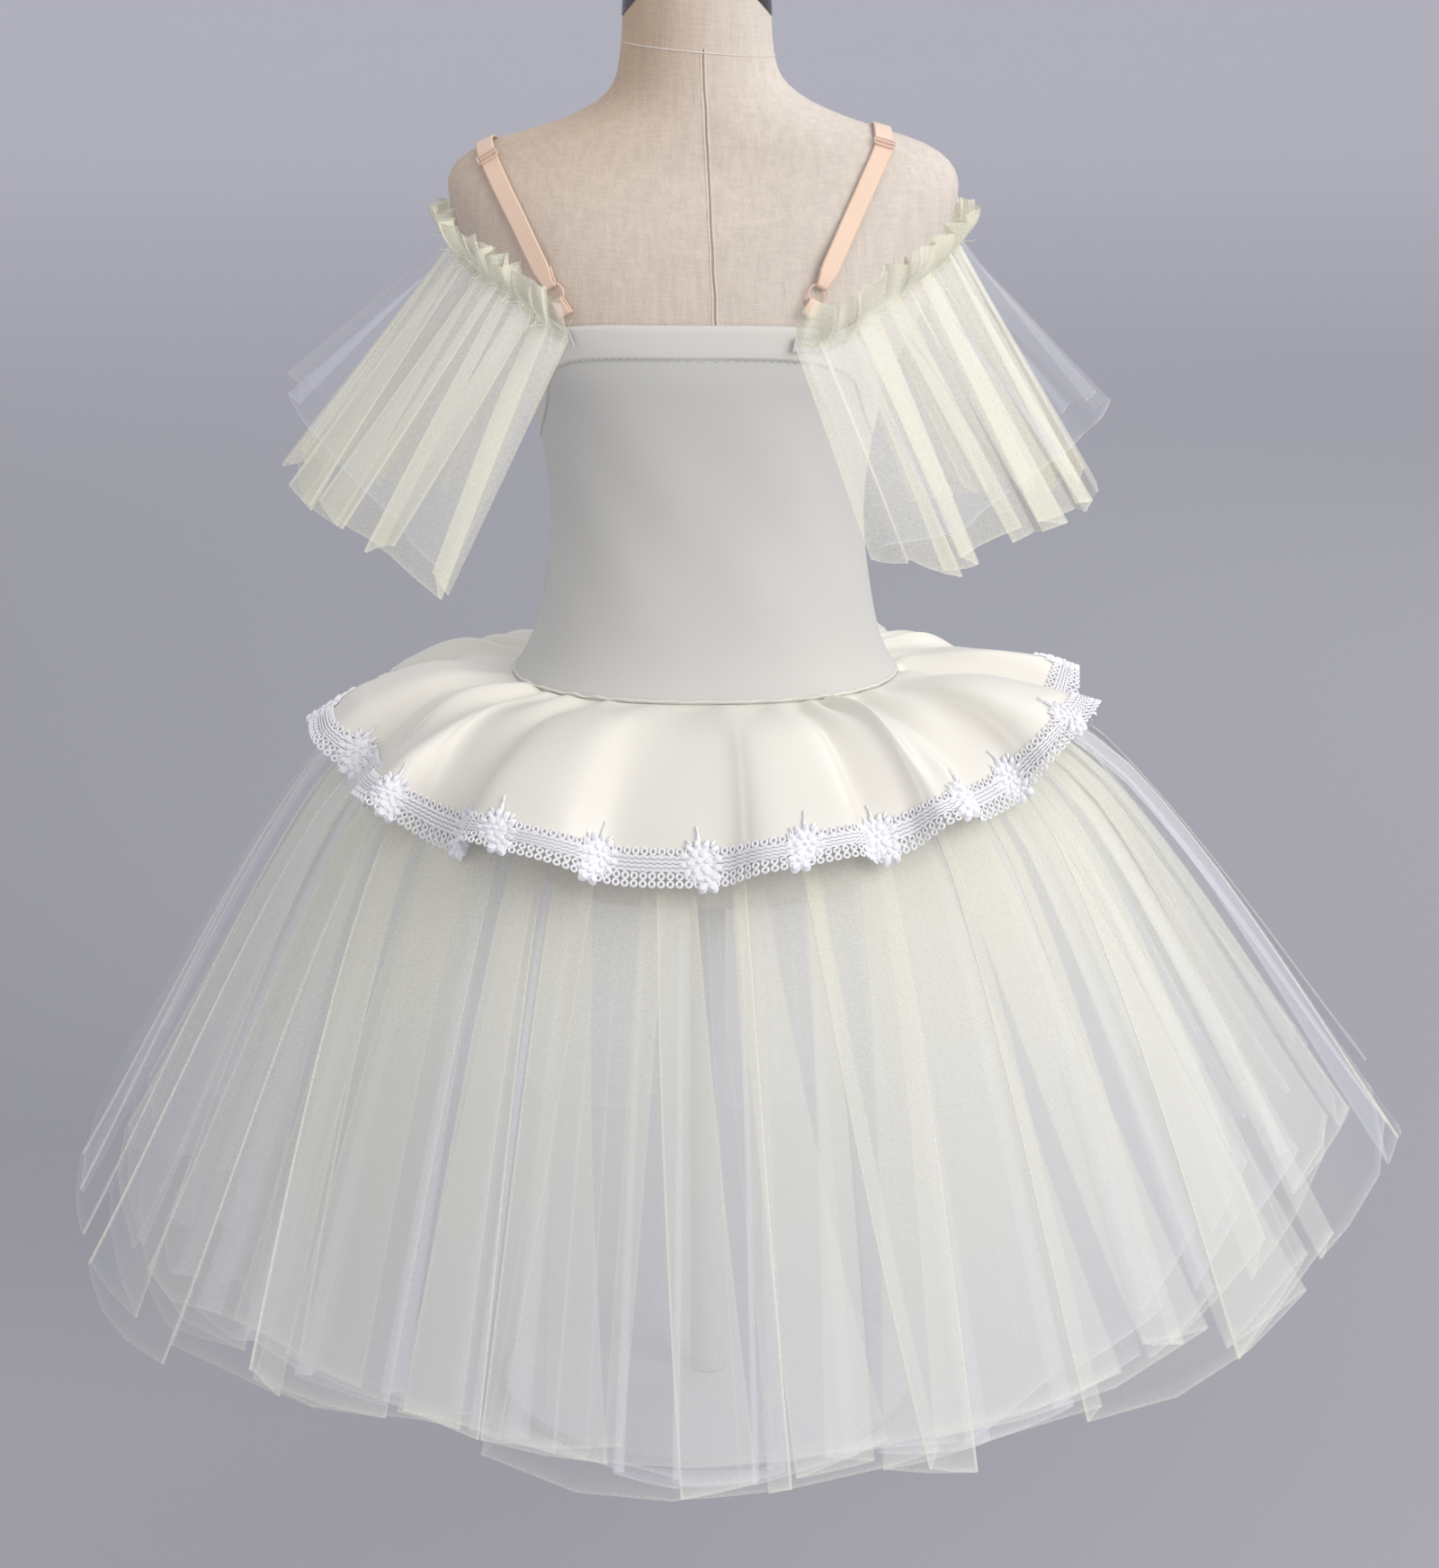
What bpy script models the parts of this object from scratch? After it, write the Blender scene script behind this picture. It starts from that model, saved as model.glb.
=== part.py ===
"""Child's half-length ballet tutu, worn by a limbless dress form on a low stand.

Metres, +Z up, origin at the middle of the stand's underside. The front faces -Y and the back +Y, so the
wearer's left is +X. Heights in the tables are above the waist seam. A bearing is the angle round the
body: 0 is the wearer's left, 90 the back, 180 the wearer's right and 270 the front.
"""

import math
import random
from collections import namedtuple

import bmesh
import bpy
from mathutils import Matrix, Vector

# Driving dimensions
SEAM_HEIGHT = 0.470  # waist seam above the floor
SEAM_GAP = 0.0003  # between neighbouring pieces
CLOTH = 0.0012  # wall of the stretch cloth and the satin
TULLE = 0.0010  # wall of one ply of tulle
SHARPEST_FOLD = 0.5  # how far a wall's corner may be drawn out at a sharp fold, as its inverse
FORM_CLEARANCE = 0.0016  # from the form to the inside of the bodice
SKIRT_BULK = 0.0096  # how far the gathered plies push the seam off the form
BULK_FADE = 0.012  # height over which that push fades out
TOP_BAND_WIDTH = 0.020
TOP_BAND_WALL = 0.0007
TOP_BAND_LIFT = 0.00075  # from the panels to the back of the band
YOKE_DEPTH = 0.044

Section = namedtuple("Section", "height centre half_width back_depth front_depth squareness")
FORM_SECTIONS = [
    Section(-0.130, 0.001, 0.0960, 0.078, 0.074, 2.3),
    Section(-0.118, 0.001, 0.1080, 0.088, 0.082, 2.3),
    Section(-0.060, 0.001, 0.1130, 0.092, 0.084, 2.3),
    Section(0.000, 0.001, 0.1040, 0.083, 0.079, 2.3),
    Section(0.045, 0.000, 0.0955, 0.077, 0.076, 2.3),
    Section(0.090, 0.000, 0.0905, 0.073, 0.075, 2.3),
    Section(0.130, 0.000, 0.0935, 0.074, 0.078, 2.3),
    Section(0.165, 0.000, 0.1010, 0.077, 0.080, 2.3),
    Section(0.190, 0.000, 0.1140, 0.079, 0.079, 2.4),
    Section(0.225, 0.001, 0.1310, 0.077, 0.074, 2.5),
    Section(0.260, 0.001, 0.1415, 0.070, 0.064, 2.6),
    Section(0.288, 0.002, 0.1485, 0.058, 0.052, 2.7),
    Section(0.302, 0.002, 0.1430, 0.052, 0.047, 2.5),
    Section(0.313, 0.001, 0.1250, 0.050, 0.045, 2.3),
    Section(0.325, 0.000, 0.0865, 0.048, 0.044, 2.1),
    Section(0.338, 0.002, 0.0590, 0.045, 0.042, 2.0),
    Section(0.354, 0.005, 0.0465, 0.043, 0.042, 2.0),
    Section(0.398, 0.0055, 0.0420, 0.042, 0.042, 2.0),
]
FORM_EXTRA_ROWS = (-0.090, -0.030, 0.022, 0.068, 0.110, 0.148)
FORM_COLUMNS = 26

CapRing = namedtuple("CapRing", "rise inset")
NECK_CAP_RINGS = [CapRing(0.0, 0.0), CapRing(0.007, 0.002), CapRing(0.014, 0.009), CapRing(0.018, 0.020)]

# Top edge of the bodice: high at the back and the front, scooped under the arms.
TopEdge = namedtuple("TopEdge", "bearing height")
BODICE_TOP = [
    TopEdge(0, 0.160),
    TopEdge(22, 0.176),
    TopEdge(42, 0.205),
    TopEdge(56, 0.2145),
    TopEdge(87, 0.2170),
    TopEdge(114, 0.2145),
    TopEdge(134, 0.203),
    TopEdge(158, 0.173),
    TopEdge(180, 0.160),
    TopEdge(205, 0.174),
    TopEdge(228, 0.212),
    TopEdge(243, 0.225),
    TopEdge(270, 0.218),
    TopEdge(297, 0.225),
    TopEdge(312, 0.212),
    TopEdge(335, 0.174),
]
BODICE_SHARES = (0.0, 0.04, 0.11, 0.26, 0.46, 0.68, 0.85, 1.0)
HALF_BODICE_COLUMNS = 20
SIDE_GAP = math.radians(0.18)  # between the two panels

# Outer edge of the satin peplum and of the longest tulle ply: reach from the axis and drop below the seam.
Edge = namedtuple("Edge", "bearing reach drop")
PEPLUM_EDGE = [
    Edge(0, 0.222, 0.043),
    Edge(45, 0.222, 0.056),
    Edge(90, 0.226, 0.064),
    Edge(135, 0.224, 0.044),
    Edge(160, 0.226, 0.024),
    Edge(185, 0.226, 0.014),
    Edge(225, 0.226, 0.036),
    Edge(270, 0.228, 0.056),
    Edge(315, 0.224, 0.046),
    Edge(340, 0.222, 0.035),
]
SKIRT_EDGE = [
    Edge(0, 0.392, 0.345),
    Edge(20, 0.374, 0.362),
    Edge(45, 0.352, 0.356),
    Edge(68, 0.350, 0.360),
    Edge(90, 0.356, 0.372),
    Edge(112, 0.352, 0.366),
    Edge(135, 0.370, 0.352),
    Edge(155, 0.395, 0.315),
    Edge(172, 0.418, 0.276),
    Edge(195, 0.404, 0.262),
    Edge(225, 0.372, 0.320),
    Edge(255, 0.356, 0.352),
    Edge(285, 0.358, 0.356),
    Edge(312, 0.376, 0.322),
    Edge(340, 0.405, 0.305),
]

# Run of the cloth from its root to its edge: share of the way, share of the reach and share of the drop.
Run = namedtuple("Run", "share reach drop")
PEPLUM_RUN = [Run(0.0, 0.0, 0.0), Run(0.4, 0.46, 0.04), Run(0.8, 0.84, 0.56), Run(1.0, 1.0, 1.0)]
SKIRT_RUN = [Run(0.0, 0.0, 0.0), Run(0.14, 0.22, 0.03), Run(0.34, 0.48, 0.22), Run(1.0, 1.0, 1.0)]

PEPLUM_FOLDS = 12
PEPLUM_SEAM = 0.0010  # the peplum starts this far below the bodice's edge, whose inner corner hangs lower
LACE_REPEATS = 34
LACE_COLUMNS = 3  # columns of the wall for each repeat: one leaf tip and two of plain band
PEPLUM_DEPTH = 0.0060
PEPLUM_TUCK = 0.08
PEPLUM_LEAN = 0.7
PEPLUM_SPACING = 0.020
PEPLUM_UNEVENNESS = 0.5
PEPLUM_GROWTH = 1.2  # power of the share by which the folds deepen towards the edge
LACE_WALL = 0.0009
LACE_LIFT = 0.0008  # from the satin to the back of the lace
LACE_TOP_SHARE = 0.79
LACE_TIP_RISE = 0.09
LACE_LOW_TIP = 0.15  # rise of the plain band between the leaf tips, as a share of a tip
LACE_OVERHANG = 0.045

# The plies from the outside in. Reach and drop scale the skirt's edge, and hem_wander is how unevenly the
# hem is cut, as a share of the length.
Ply = namedtuple("Ply", "name finish rows root_drop reach drop folds hem_wander seed")
PLIES = [
    Ply("tulle_ply_1_cream", "cream_tulle", (0, 1, 2, 3), 0.0060, 1.000, 1.000, 22, 0.040, 11),
    Ply("tulle_ply_2_cream", "cream_tulle", (0, 1, 2, 3), 0.0150, 0.930, 0.990, 20, 0.035, 23),
    Ply("tulle_ply_3_white", "white_tulle", (0, 2, 3), 0.0240, 0.858, 1.045, 18, 0.030, 37),
    Ply("tulle_ply_4_white", "white_tulle", (0, 2, 3), 0.0330, 0.786, 1.075, 16, 0.025, 41),
]
COLUMNS_PER_FOLD = 6
FOLD_DEPTH = 0.0085
FOLD_TUCK = 0.085  # how far a fold's side is tucked in under it, as a share of the fold's own pitch
FOLD_LEAN = 0.8
FOLD_SPACING = 0.28  # how far a fold may wander from even spacing, as a share of the spacing
FOLD_UNEVENNESS = 0.25
FOLD_GROWTH = 1.1
PLY_GAP = 0.0009  # from the hip yoke to the gathered edge of a ply
TUCK_START = 0.25  # share of a fold's full depth at which its sides stand upright

# A sleeve is a tulle flounce gathered on an elastic band round the arm. Bearings are for the left sleeve,
# and for the right one mirrored.
BandPoint = namedtuple("BandPoint", "bearing height")
SLEEVE_BAND = [
    BandPoint(-66, 0.210),
    BandPoint(-45, 0.228),
    BandPoint(-22, 0.246),
    BandPoint(0, 0.259),
    BandPoint(22, 0.246),
    BandPoint(45, 0.226),
    BandPoint(58, 0.209),
    BandPoint(72, 0.206),
]
# Slopes are in degrees below level, where the sleeve hangs outward, backward and forward.
Sleeve = namedtuple("Sleeve", "side mirror front_bearing back_bearing slope_out slope_back slope_front")
SLEEVES = [
    Sleeve("left", False, -60, 58, 53, 57, 57),
    Sleeve("right", True, -60, 71, 60, 57, 60),
]
SLEEVE_LENGTH = 0.165
SLEEVE_FAN = 0.72  # how far a ruling turns for each degree of bearing
SLEEVE_BAND_WIDTH = 0.008
SLEEVE_BAND_WALL = 0.0010
SLEEVE_BAND_STEPS = 16
SLEEVE_BAND_LIFT = 0.0020  # from the form
SLEEVE_END_LIFT = 0.0072  # from the form, where the band crosses over the bodice's top edge
SLEEVE_END_MARGIN = 0.013  # height above that edge at which the band starts to lift
SLEEVE_END_EASE = 0.010
SLEEVE_HEAD_HEIGHT = 0.022
SLEEVE_HEAD_LEAN = 0.010
SLEEVE_HEAD_RUFFLE = 0.35
SLEEVE_RUN = (0.0, 0.22, 1.0)
SLEEVE_PLY_GAP = 0.0012
SLEEVE_PLY_SPREAD = 5  # how many gaps the white ply drifts off the cream one by its hem
SLEEVE_WHITE_START = 0.003
SLEEVE_DEPTH = 0.0062
SLEEVE_TUCK = 0.085
SLEEVE_FOLD_LEAN = 0.8
SLEEVE_UNEVENNESS = 0.3
SLEEVE_END_DEPTH = 0.5  # depth of the folds at a sleeve's ends, as a share of that at its middle
MIRROR_SEED = 50
SleevePly = namedtuple("SleevePly", "name finish folds middle_length end_length raised seed headed")
SLEEVE_PLIES = [
    SleevePly("cream", "cream_tulle", 8, 1.00, 0.96, 0, 5, True),
    SleevePly("white", "white_tulle", 7, 0.76, 0.90, 9, 9, False),
]

# A strap runs from its ring at the back, over the shoulder and down to the front of the bodice.
Strap = namedtuple("Strap", "side back_x top_x front_x")
STRAPS = [Strap("left", 0.078, 0.128, 0.064), Strap("right", -0.056, -0.101, -0.060)]
STRAP_WIDTH = 0.0108
STRAP_PINCH = 0.0049  # its width where it is gathered through a ring
STRAP_WALL = 0.0008
STRAP_LIFT = 0.0021  # from the form to the middle of the strap
STRAP_CENTRE_HEIGHT = 0.205  # of the point inside the form from which a strap's line is found
STRAP_CREST = 0.312
STRAP_FOOT = 0.220
STRAP_LEAVING = 0.004  # from the ring's wire to where the strap's long run begins
STRAP_FRONT_GAP = 0.0024  # from the bodice's front edge to the strap's end
RING_HEIGHT = 0.2335
RING_RADIUS = 0.0056
RING_WIRE = 0.0007
RING_LIFT = 0.0034
HOOK_RADIUS = 0.0019  # of a strap's turn round the ring's wire
STRAP_TURN_BACK = 0.009
STRAP_FRONT_BEARING = 62  # of the strap's foot on the bodice's front edge, from the side seam
TAB_LENGTH = 0.0085
TAB_WIDTH = 0.0086
BACK_ANGLES = (math.radians(3), math.radians(69))  # where a strap's line is looked for at the back
FRONT_ANGLES = (math.radians(110), math.radians(176))
STRAP_SETTLE = 0.040  # length over which the strap comes down from the ring onto the form
STRAP_STEPS = 24
SLIDER_ANGLE = math.radians(73)
SLIDER_SIZE = (0.0070, 0.0135)
SLIDER_BAR = 0.0011
SEARCH_STEPS = 30
LINE_STEPS = 5
SEARCH_REACH = 0.2

BASE_RADIUS = 0.130
BASE_THICKNESS = 0.008
POLE_RADIUS = 0.011
ROUND_SIDES = 32
SHARP_EDGE = math.radians(50)

Finish = namedtuple("Finish", "colour roughness")
FINISHES = {
    "linen": Finish((0.78, 0.70, 0.61), 0.85),
    "cap": Finish((0.02, 0.02, 0.022), 0.35),
    "stand": Finish((0.80, 0.80, 0.79), 0.40),
    "stretch": Finish((0.86, 0.86, 0.81), 0.55),
    "satin": Finish((0.90, 0.87, 0.78), 0.40),
    "lace": Finish((0.94, 0.94, 0.95), 0.75),
    "cream_tulle": Finish((0.88, 0.87, 0.68), 0.70),
    "white_tulle": Finish((0.88, 0.89, 0.92), 0.70),
    "elastic": Finish((0.90, 0.72, 0.60), 0.60),
    "fitting": Finish((0.86, 0.70, 0.60), 0.25),
}


def blend_rows(rows, x, period=None):
    """Row values at x, on a smooth curve through the rows, whose first column is x."""
    xs = [row[0] for row in rows]
    if period:
        x = (x - xs[0]) % period + xs[0]
        rows = [rows[-1], *rows, rows[0], rows[1]]
        xs = [xs[-1] - period, *xs, xs[0] + period, xs[1] + period]
    last = len(rows) - 2
    i = max(k for k in range(last + 1) if k == 0 or xs[k] <= x)
    span = xs[i + 1] - xs[i]
    t = min(max((x - xs[i]) / span, 0.0), 1.0)
    values = []
    for c in range(1, len(rows[0])):
        p0, p1 = rows[i][c], rows[i + 1][c]
        before, after = max(i - 1, 0), min(i + 2, len(rows) - 1)
        m0 = (p1 - rows[before][c]) / (xs[i + 1] - xs[before]) * span
        m1 = (rows[after][c] - p0) / (xs[after] - xs[i]) * span
        values.append(
            (2 * t**3 - 3 * t**2 + 1) * p0
            + (t**3 - 2 * t**2 + t) * m0
            + (3 * t**2 - 2 * t**3) * p1
            + (t**3 - t**2) * m1
        )
    return values


def run_rows(rows, share):
    """Reach and drop shares on the straight runs between the rows, carried on past the last."""
    i = max(k for k in range(len(rows) - 1) if k == 0 or rows[k].share <= share)
    a, b = rows[i], rows[i + 1]
    t = (share - a.share) / (b.share - a.share)
    return a.reach + (b.reach - a.reach) * t, a.drop + (b.drop - a.drop) * t


def wander(seed, size, lowest, highest):
    """A smooth random function of a turn, 0 to 1, that comes back to its start."""
    draw = random.Random(seed)
    waves = [(k, draw.uniform(0.4, 1.0), draw.random()) for k in range(lowest, highest + 1)]
    scale = size / sum(amount for _, amount, _ in waves)
    return lambda s: scale * sum(a * math.sin(2 * math.pi * (k * s + p)) for k, a, p in waves)


# The dress form


def form_point(height, bearing):
    """A point of the form's surface. Bearing is in radians."""
    centre, half_width, back, front, squareness = blend_rows(FORM_SECTIONS, height)
    c, s = math.cos(bearing), math.sin(bearing)
    depth = back if s > 0 else front
    x = half_width * math.copysign(abs(c) ** (2 / squareness), c)
    y = depth * math.copysign(abs(s) ** (2 / squareness), s)
    return Vector((centre + x, y, SEAM_HEIGHT + height))


def form_normal(height, bearing):
    """Outward normal of the form's surface."""
    step = 0.02
    rise = 0.002
    along = form_point(height, bearing + step) - form_point(height, bearing - step)
    up = form_point(height + rise, bearing) - form_point(height - rise, bearing)
    return along.cross(up).normalized()


def fullness(point):
    """Under 1 inside the form, 1 on its surface and over 1 outside."""
    height = min(point.z - SEAM_HEIGHT, FORM_SECTIONS[-1].height)
    centre, half_width, back, front, squareness = blend_rows(FORM_SECTIONS, height)
    depth = back if point.y > 0 else front
    return (abs(point.x - centre) / half_width) ** squareness + (abs(point.y) / depth) ** squareness


def outward(point):
    """Outward normal of the form at a point near its surface."""
    step = 0.0005
    axes = (Vector((step, 0.0, 0.0)), Vector((0.0, step, 0.0)), Vector((0.0, 0.0, step)))
    return Vector([fullness(point + axis) - fullness(point - axis) for axis in axes]).normalized()


def skirt_push(height):
    """How far the skirt's bulk holds the cloth off the form near the seam."""
    return SKIRT_BULK * math.exp(-max(height, 0.0) / BULK_FADE)


def bodice_point(height, bearing, out=0.0):
    """A point of the bodice's outer face, moved out by a distance."""
    offset = FORM_CLEARANCE + CLOTH + skirt_push(height) + out
    normal = form_normal(height, bearing)
    level = Vector((normal.x, normal.y, 0.0)).normalized()
    return form_point(height, bearing) + level * offset


# Making solids


def material(name):
    found = bpy.data.materials.get(name)
    if found:
        return found
    finish = FINISHES[name]
    made = bpy.data.materials.new(name)
    made.use_nodes = True
    shader = made.node_tree.nodes["Principled BSDF"]
    shader.inputs["Base Color"].default_value = (*finish.colour, 1.0)
    shader.inputs["Roughness"].default_value = finish.roughness
    return made


def add_solid(name, points, faces, finish):
    mesh = bpy.data.meshes.new(name)
    mesh.from_pydata([tuple(p) for p in points], [], faces)
    mesh.materials.append(material(finish))
    mesh.shade_smooth()
    mesh.set_sharp_from_angle(angle=SHARP_EDGE)
    made = bpy.data.objects.new(name, mesh)
    bpy.context.scene.collection.objects.link(made)
    return made


def loft(name, rings, finish):
    """A closed solid through rings of points that run anticlockwise from above, from the lowest ring up."""
    count = len(rings[0])
    points = [p for ring in rings for p in ring]
    faces = [tuple(reversed(range(count)))]
    for r in range(len(rings) - 1):
        low, high = r * count, (r + 1) * count
        for c in range(count):
            d = (c + 1) % count
            faces.append((low + c, low + d, high + d, high + c))
    top = (len(rings) - 1) * count
    faces.append(tuple(range(top, top + count)))
    return add_solid(name, points, faces, finish)


def two_triangles(points, a, b, c, d):
    """A quad split along its shorter diagonal, so that both faces of a wall are split alike."""
    if (points[a] - points[c]).length < (points[b] - points[d]).length:
        return [(a, b, c), (a, c, d)]
    return [(a, b, d), (b, c, d)]


def sheet_normals(rows, closed):
    """Outward normals of a sheet's points, drawn out at sharp folds so that a wall keeps its thickness."""
    normals = []
    for r, row in enumerate(rows):
        count = len(row)
        downs = [q - p for p, q in zip(rows[max(r - 1, 0)], rows[min(r + 1, len(rows) - 1)])]
        sides = []
        for c in range(count if closed else count - 1):
            d = (c + 1) % count
            sides.append((downs[c] + downs[d]).cross(row[d] - row[c]).normalized())
        line = []
        for c in range(count):
            before = sides[c - 1] if closed or c else sides[0]
            after = sides[c] if closed or c < count - 1 else sides[-1]
            mean = (before + after).normalized()
            line.append(mean / max(mean.dot(after), SHARPEST_FOLD))
        normals.append(line)
    return normals


def wall(name, rows, thickness, closed, finish, lift=0.0):
    """A cloth wall. The rows of points, anticlockwise from above and going outward, are its outer face."""
    normals = sheet_normals(rows, closed)
    count = len(rows[0])
    outer = []
    inner = []
    for row, line in zip(rows, normals):
        outer += [p + n * lift for p, n in zip(row, line)]
        inner += [p + n * (lift - thickness) for p, n in zip(row, line)]
    back = len(outer)
    last = (len(rows) - 1) * count
    faces = []
    for c in range(count if closed else count - 1):
        d = (c + 1) % count
        for near in range(0, last, count):
            far = near + count
            for face in two_triangles(outer, near + c, far + c, far + d, near + d):
                faces += [face, tuple(back + i for i in reversed(face))]
        faces.append((back + c, c, d, back + d))
        faces.append((last + c, back + last + c, back + last + d, last + d))
    if not closed:
        end = count - 1
        for near in range(0, last, count):
            far = near + count
            faces.append((near, back + near, back + far, far))
            faces.append((back + near + end, near + end, far + end, back + far + end))
    return add_solid(name, outer + inner, faces, finish)


# A set of folds: how many, how far they stand out, how far their sides are tucked in, a level that they
# stand out from, and functions of the turn for their lean, their spacing and their unevenness.
Folds = namedtuple("Folds", "count depth tuck level lean spacing depths")


def folded(base, folds, s, share, growth):
    """A point of a folded sheet. A fold is a flat-topped wave whose sides are tucked in under it."""
    step = 0.002
    u = s + folds.spacing(s)
    here = base(u, share)
    ahead = base(s + step + folds.spacing(s + step), share)
    behind = base(s - step + folds.spacing(s - step), share)
    along = (ahead - behind).normalized()
    pitch = (ahead - behind).length / (2 * step * folds.count)
    down = (base(u, share + step) - base(u, max(share - step, 0.0))).normalized()
    out = down.cross(along).normalized()
    phase = 2 * math.pi * folds.count * s
    wave = math.sin(phase)
    flat = wave * (1.5 - 0.5 * wave * wave)
    stand = folds.depth * growth * (1 + folds.depths(s)) * (flat + folds.level)
    tuck = folds.tuck * pitch * min(growth / TUCK_START, 1.0) * math.sin(2 * phase)
    return here + out * stand + along * (folds.lean(s) * stand - tuck)


def edge_base(root, edge, run, reach_scale=1.0, drop_scale=1.0, root_drop=0.0, hem=None):
    """The smooth surface under a skirt's folds, from its root at the seam out to its edge."""

    def base(u, share):
        bearing = 360.0 * u
        reach, drop = blend_rows(edge, bearing, period=360.0)
        reach_share, drop_share = run_rows(run, share * (1 + hem(u)) if hem else share)
        angle = math.radians(bearing)
        start = root(angle)
        end = Vector((reach * reach_scale * math.cos(angle), reach * reach_scale * math.sin(angle), 0.0))
        level = start.lerp(end, reach_share) if reach_share <= 1 else start + (end - start) * reach_share
        z = SEAM_HEIGHT - root_drop - (drop * drop_scale - root_drop) * drop_share
        return Vector((level.x, level.y, z))

    return base


# Pieces of the dress


def bodice_top(bearing):
    """Height of the bodice's top edge at a bearing in degrees."""
    return blend_rows([(edge.bearing, edge.height) for edge in BODICE_TOP], bearing, period=360.0)[0]


def bodice_rows(start):
    """Half of the bodice's outer face, from its top edge down, starting at a side seam."""
    first = start + SIDE_GAP / 2
    span = math.pi - SIDE_GAP
    bearings = [first + span * c / HALF_BODICE_COLUMNS for c in range(HALF_BODICE_COLUMNS + 1)]
    return [
        [bodice_point(share * bodice_top(math.degrees(b)), b) for b in bearings]
        for share in reversed(BODICE_SHARES)
    ]


def make_bodice():
    back, front = bodice_rows(0.0), bodice_rows(math.pi)
    wall("bodice_back", back, CLOTH, False, "stretch")
    wall("bodice_front", front, CLOTH, False, "stretch")
    edge = back[0] + front[0][1:-1]
    under = back[1] + front[1][1:-1]
    low = [p.lerp(q, TOP_BAND_WIDTH / (p.z - q.z)) for p, q in zip(edge, under)]
    wall("top_band", [edge, low], TOP_BAND_WALL, True, "stretch", lift=TOP_BAND_WALL + TOP_BAND_LIFT)


def yoke_offset(depth):
    """The yoke hugs the form at its lower edge and meets the bodice's edge at the seam."""
    return FORM_CLEARANCE + CLOTH + SKIRT_BULK * max(1 - depth / YOKE_DEPTH, 0.0)


def yoke_point(depth, bearing):
    normal = form_normal(-depth, bearing)
    level = Vector((normal.x, normal.y, 0.0)).normalized()
    return form_point(-depth, bearing) + level * yoke_offset(depth)


def make_yoke():
    top = PEPLUM_SEAM + CLOTH + 2 * SEAM_GAP
    count = 2 * HALF_BODICE_COLUMNS
    rows = [
        [yoke_point(depth, 2 * math.pi * c / count) for c in range(count)]
        for depth in (top, YOKE_DEPTH / 2, YOKE_DEPTH)
    ]
    wall("hip_yoke", rows, CLOTH, True, "stretch")


def peplum_surface():
    def root(angle):
        return bodice_point(0.0, angle, -CLOTH)

    base = edge_base(root, PEPLUM_EDGE, PEPLUM_RUN, root_drop=PEPLUM_SEAM)
    lean = wander(4, PEPLUM_LEAN, 1, 4)
    spacing = wander(3, PEPLUM_SPACING, 2, 5)
    depths = wander(7, PEPLUM_UNEVENNESS, 1, 5)
    folds = Folds(PEPLUM_FOLDS, PEPLUM_DEPTH, PEPLUM_TUCK, 1.0, lean, spacing, depths)

    def point(s, share):
        return folded(base, folds, s, share, share**PEPLUM_GROWTH)

    return point


def make_peplum():
    point = peplum_surface()
    count = LACE_REPEATS * LACE_COLUMNS
    rows = [[point(c / count, run.share) for c in range(count)] for run in PEPLUM_RUN]
    wall("peplum", rows, CLOTH, True, "satin")


def make_lace():
    """A band over the peplum's edge, with a leaf tip at each repeat and an overhang below the satin."""
    point = peplum_surface()
    count = LACE_REPEATS * LACE_COLUMNS
    tips = [1.0 if c % LACE_COLUMNS == 0 else LACE_LOW_TIP for c in range(count)]
    rows = [
        [point(c / count, LACE_TOP_SHARE - LACE_TIP_RISE * tips[c]) for c in range(count)],
        [point(c / count, LACE_TOP_SHARE + 0.01) for c in range(count)],
        [point(c / count, 1.0) for c in range(count)],
        [point(c / count, 1.0 + LACE_OVERHANG * (0.8 + 0.4 * tips[c])) for c in range(count)],
    ]
    wall("peplum_lace", rows, LACE_WALL, True, "lace", lift=LACE_WALL + LACE_LIFT)


def make_ply(ply):
    def root(angle):
        return yoke_point(ply.root_drop, angle) + Vector((math.cos(angle), math.sin(angle), 0.0)) * PLY_GAP

    hem = wander(ply.seed + 2, ply.hem_wander, 5, 13)
    base = edge_base(root, SKIRT_EDGE, SKIRT_RUN, ply.reach, ply.drop, ply.root_drop, hem)
    spacing = wander(ply.seed, FOLD_SPACING / ply.folds, 2, 6)
    depths = wander(ply.seed + 1, FOLD_UNEVENNESS, 1, 6)
    lean = wander(ply.seed + 3, FOLD_LEAN, 2, 7)
    folds = Folds(ply.folds, FOLD_DEPTH, FOLD_TUCK, 0.0, lean, spacing, depths)
    count = ply.folds * COLUMNS_PER_FOLD
    rows = []
    for r in ply.rows:
        share = SKIRT_RUN[r].share
        growth = share**FOLD_GROWTH
        rows.append([folded(base, folds, (c + 0.5) / count, share, growth) for c in range(count)])
    wall(ply.name, rows, TULLE, True, ply.finish)


# Sleeves


def sleeve_bearing(sleeve, turn):
    return sleeve.front_bearing + (sleeve.back_bearing - sleeve.front_bearing) * turn


def band_point(sleeve, turn, lift, rise=0.0):
    """A point along a sleeve's band, from its front end at 0 to its back end at 1."""
    bearing = sleeve_bearing(sleeve, turn)
    height = blend_rows(SLEEVE_BAND, bearing)[0]
    over = 180 - bearing if sleeve.mirror else bearing
    end = min(max((bodice_top(over) + SLEEVE_END_MARGIN - height) / SLEEVE_END_EASE, 0.0), 1.0)
    ease = end * end * (3 - 2 * end)
    out = SLEEVE_BAND_LIFT + (SLEEVE_END_LIFT - SLEEVE_BAND_LIFT) * ease + lift
    angle = math.radians(over)
    return form_point(height + rise, angle) + form_normal(height + rise, angle) * out


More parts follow.
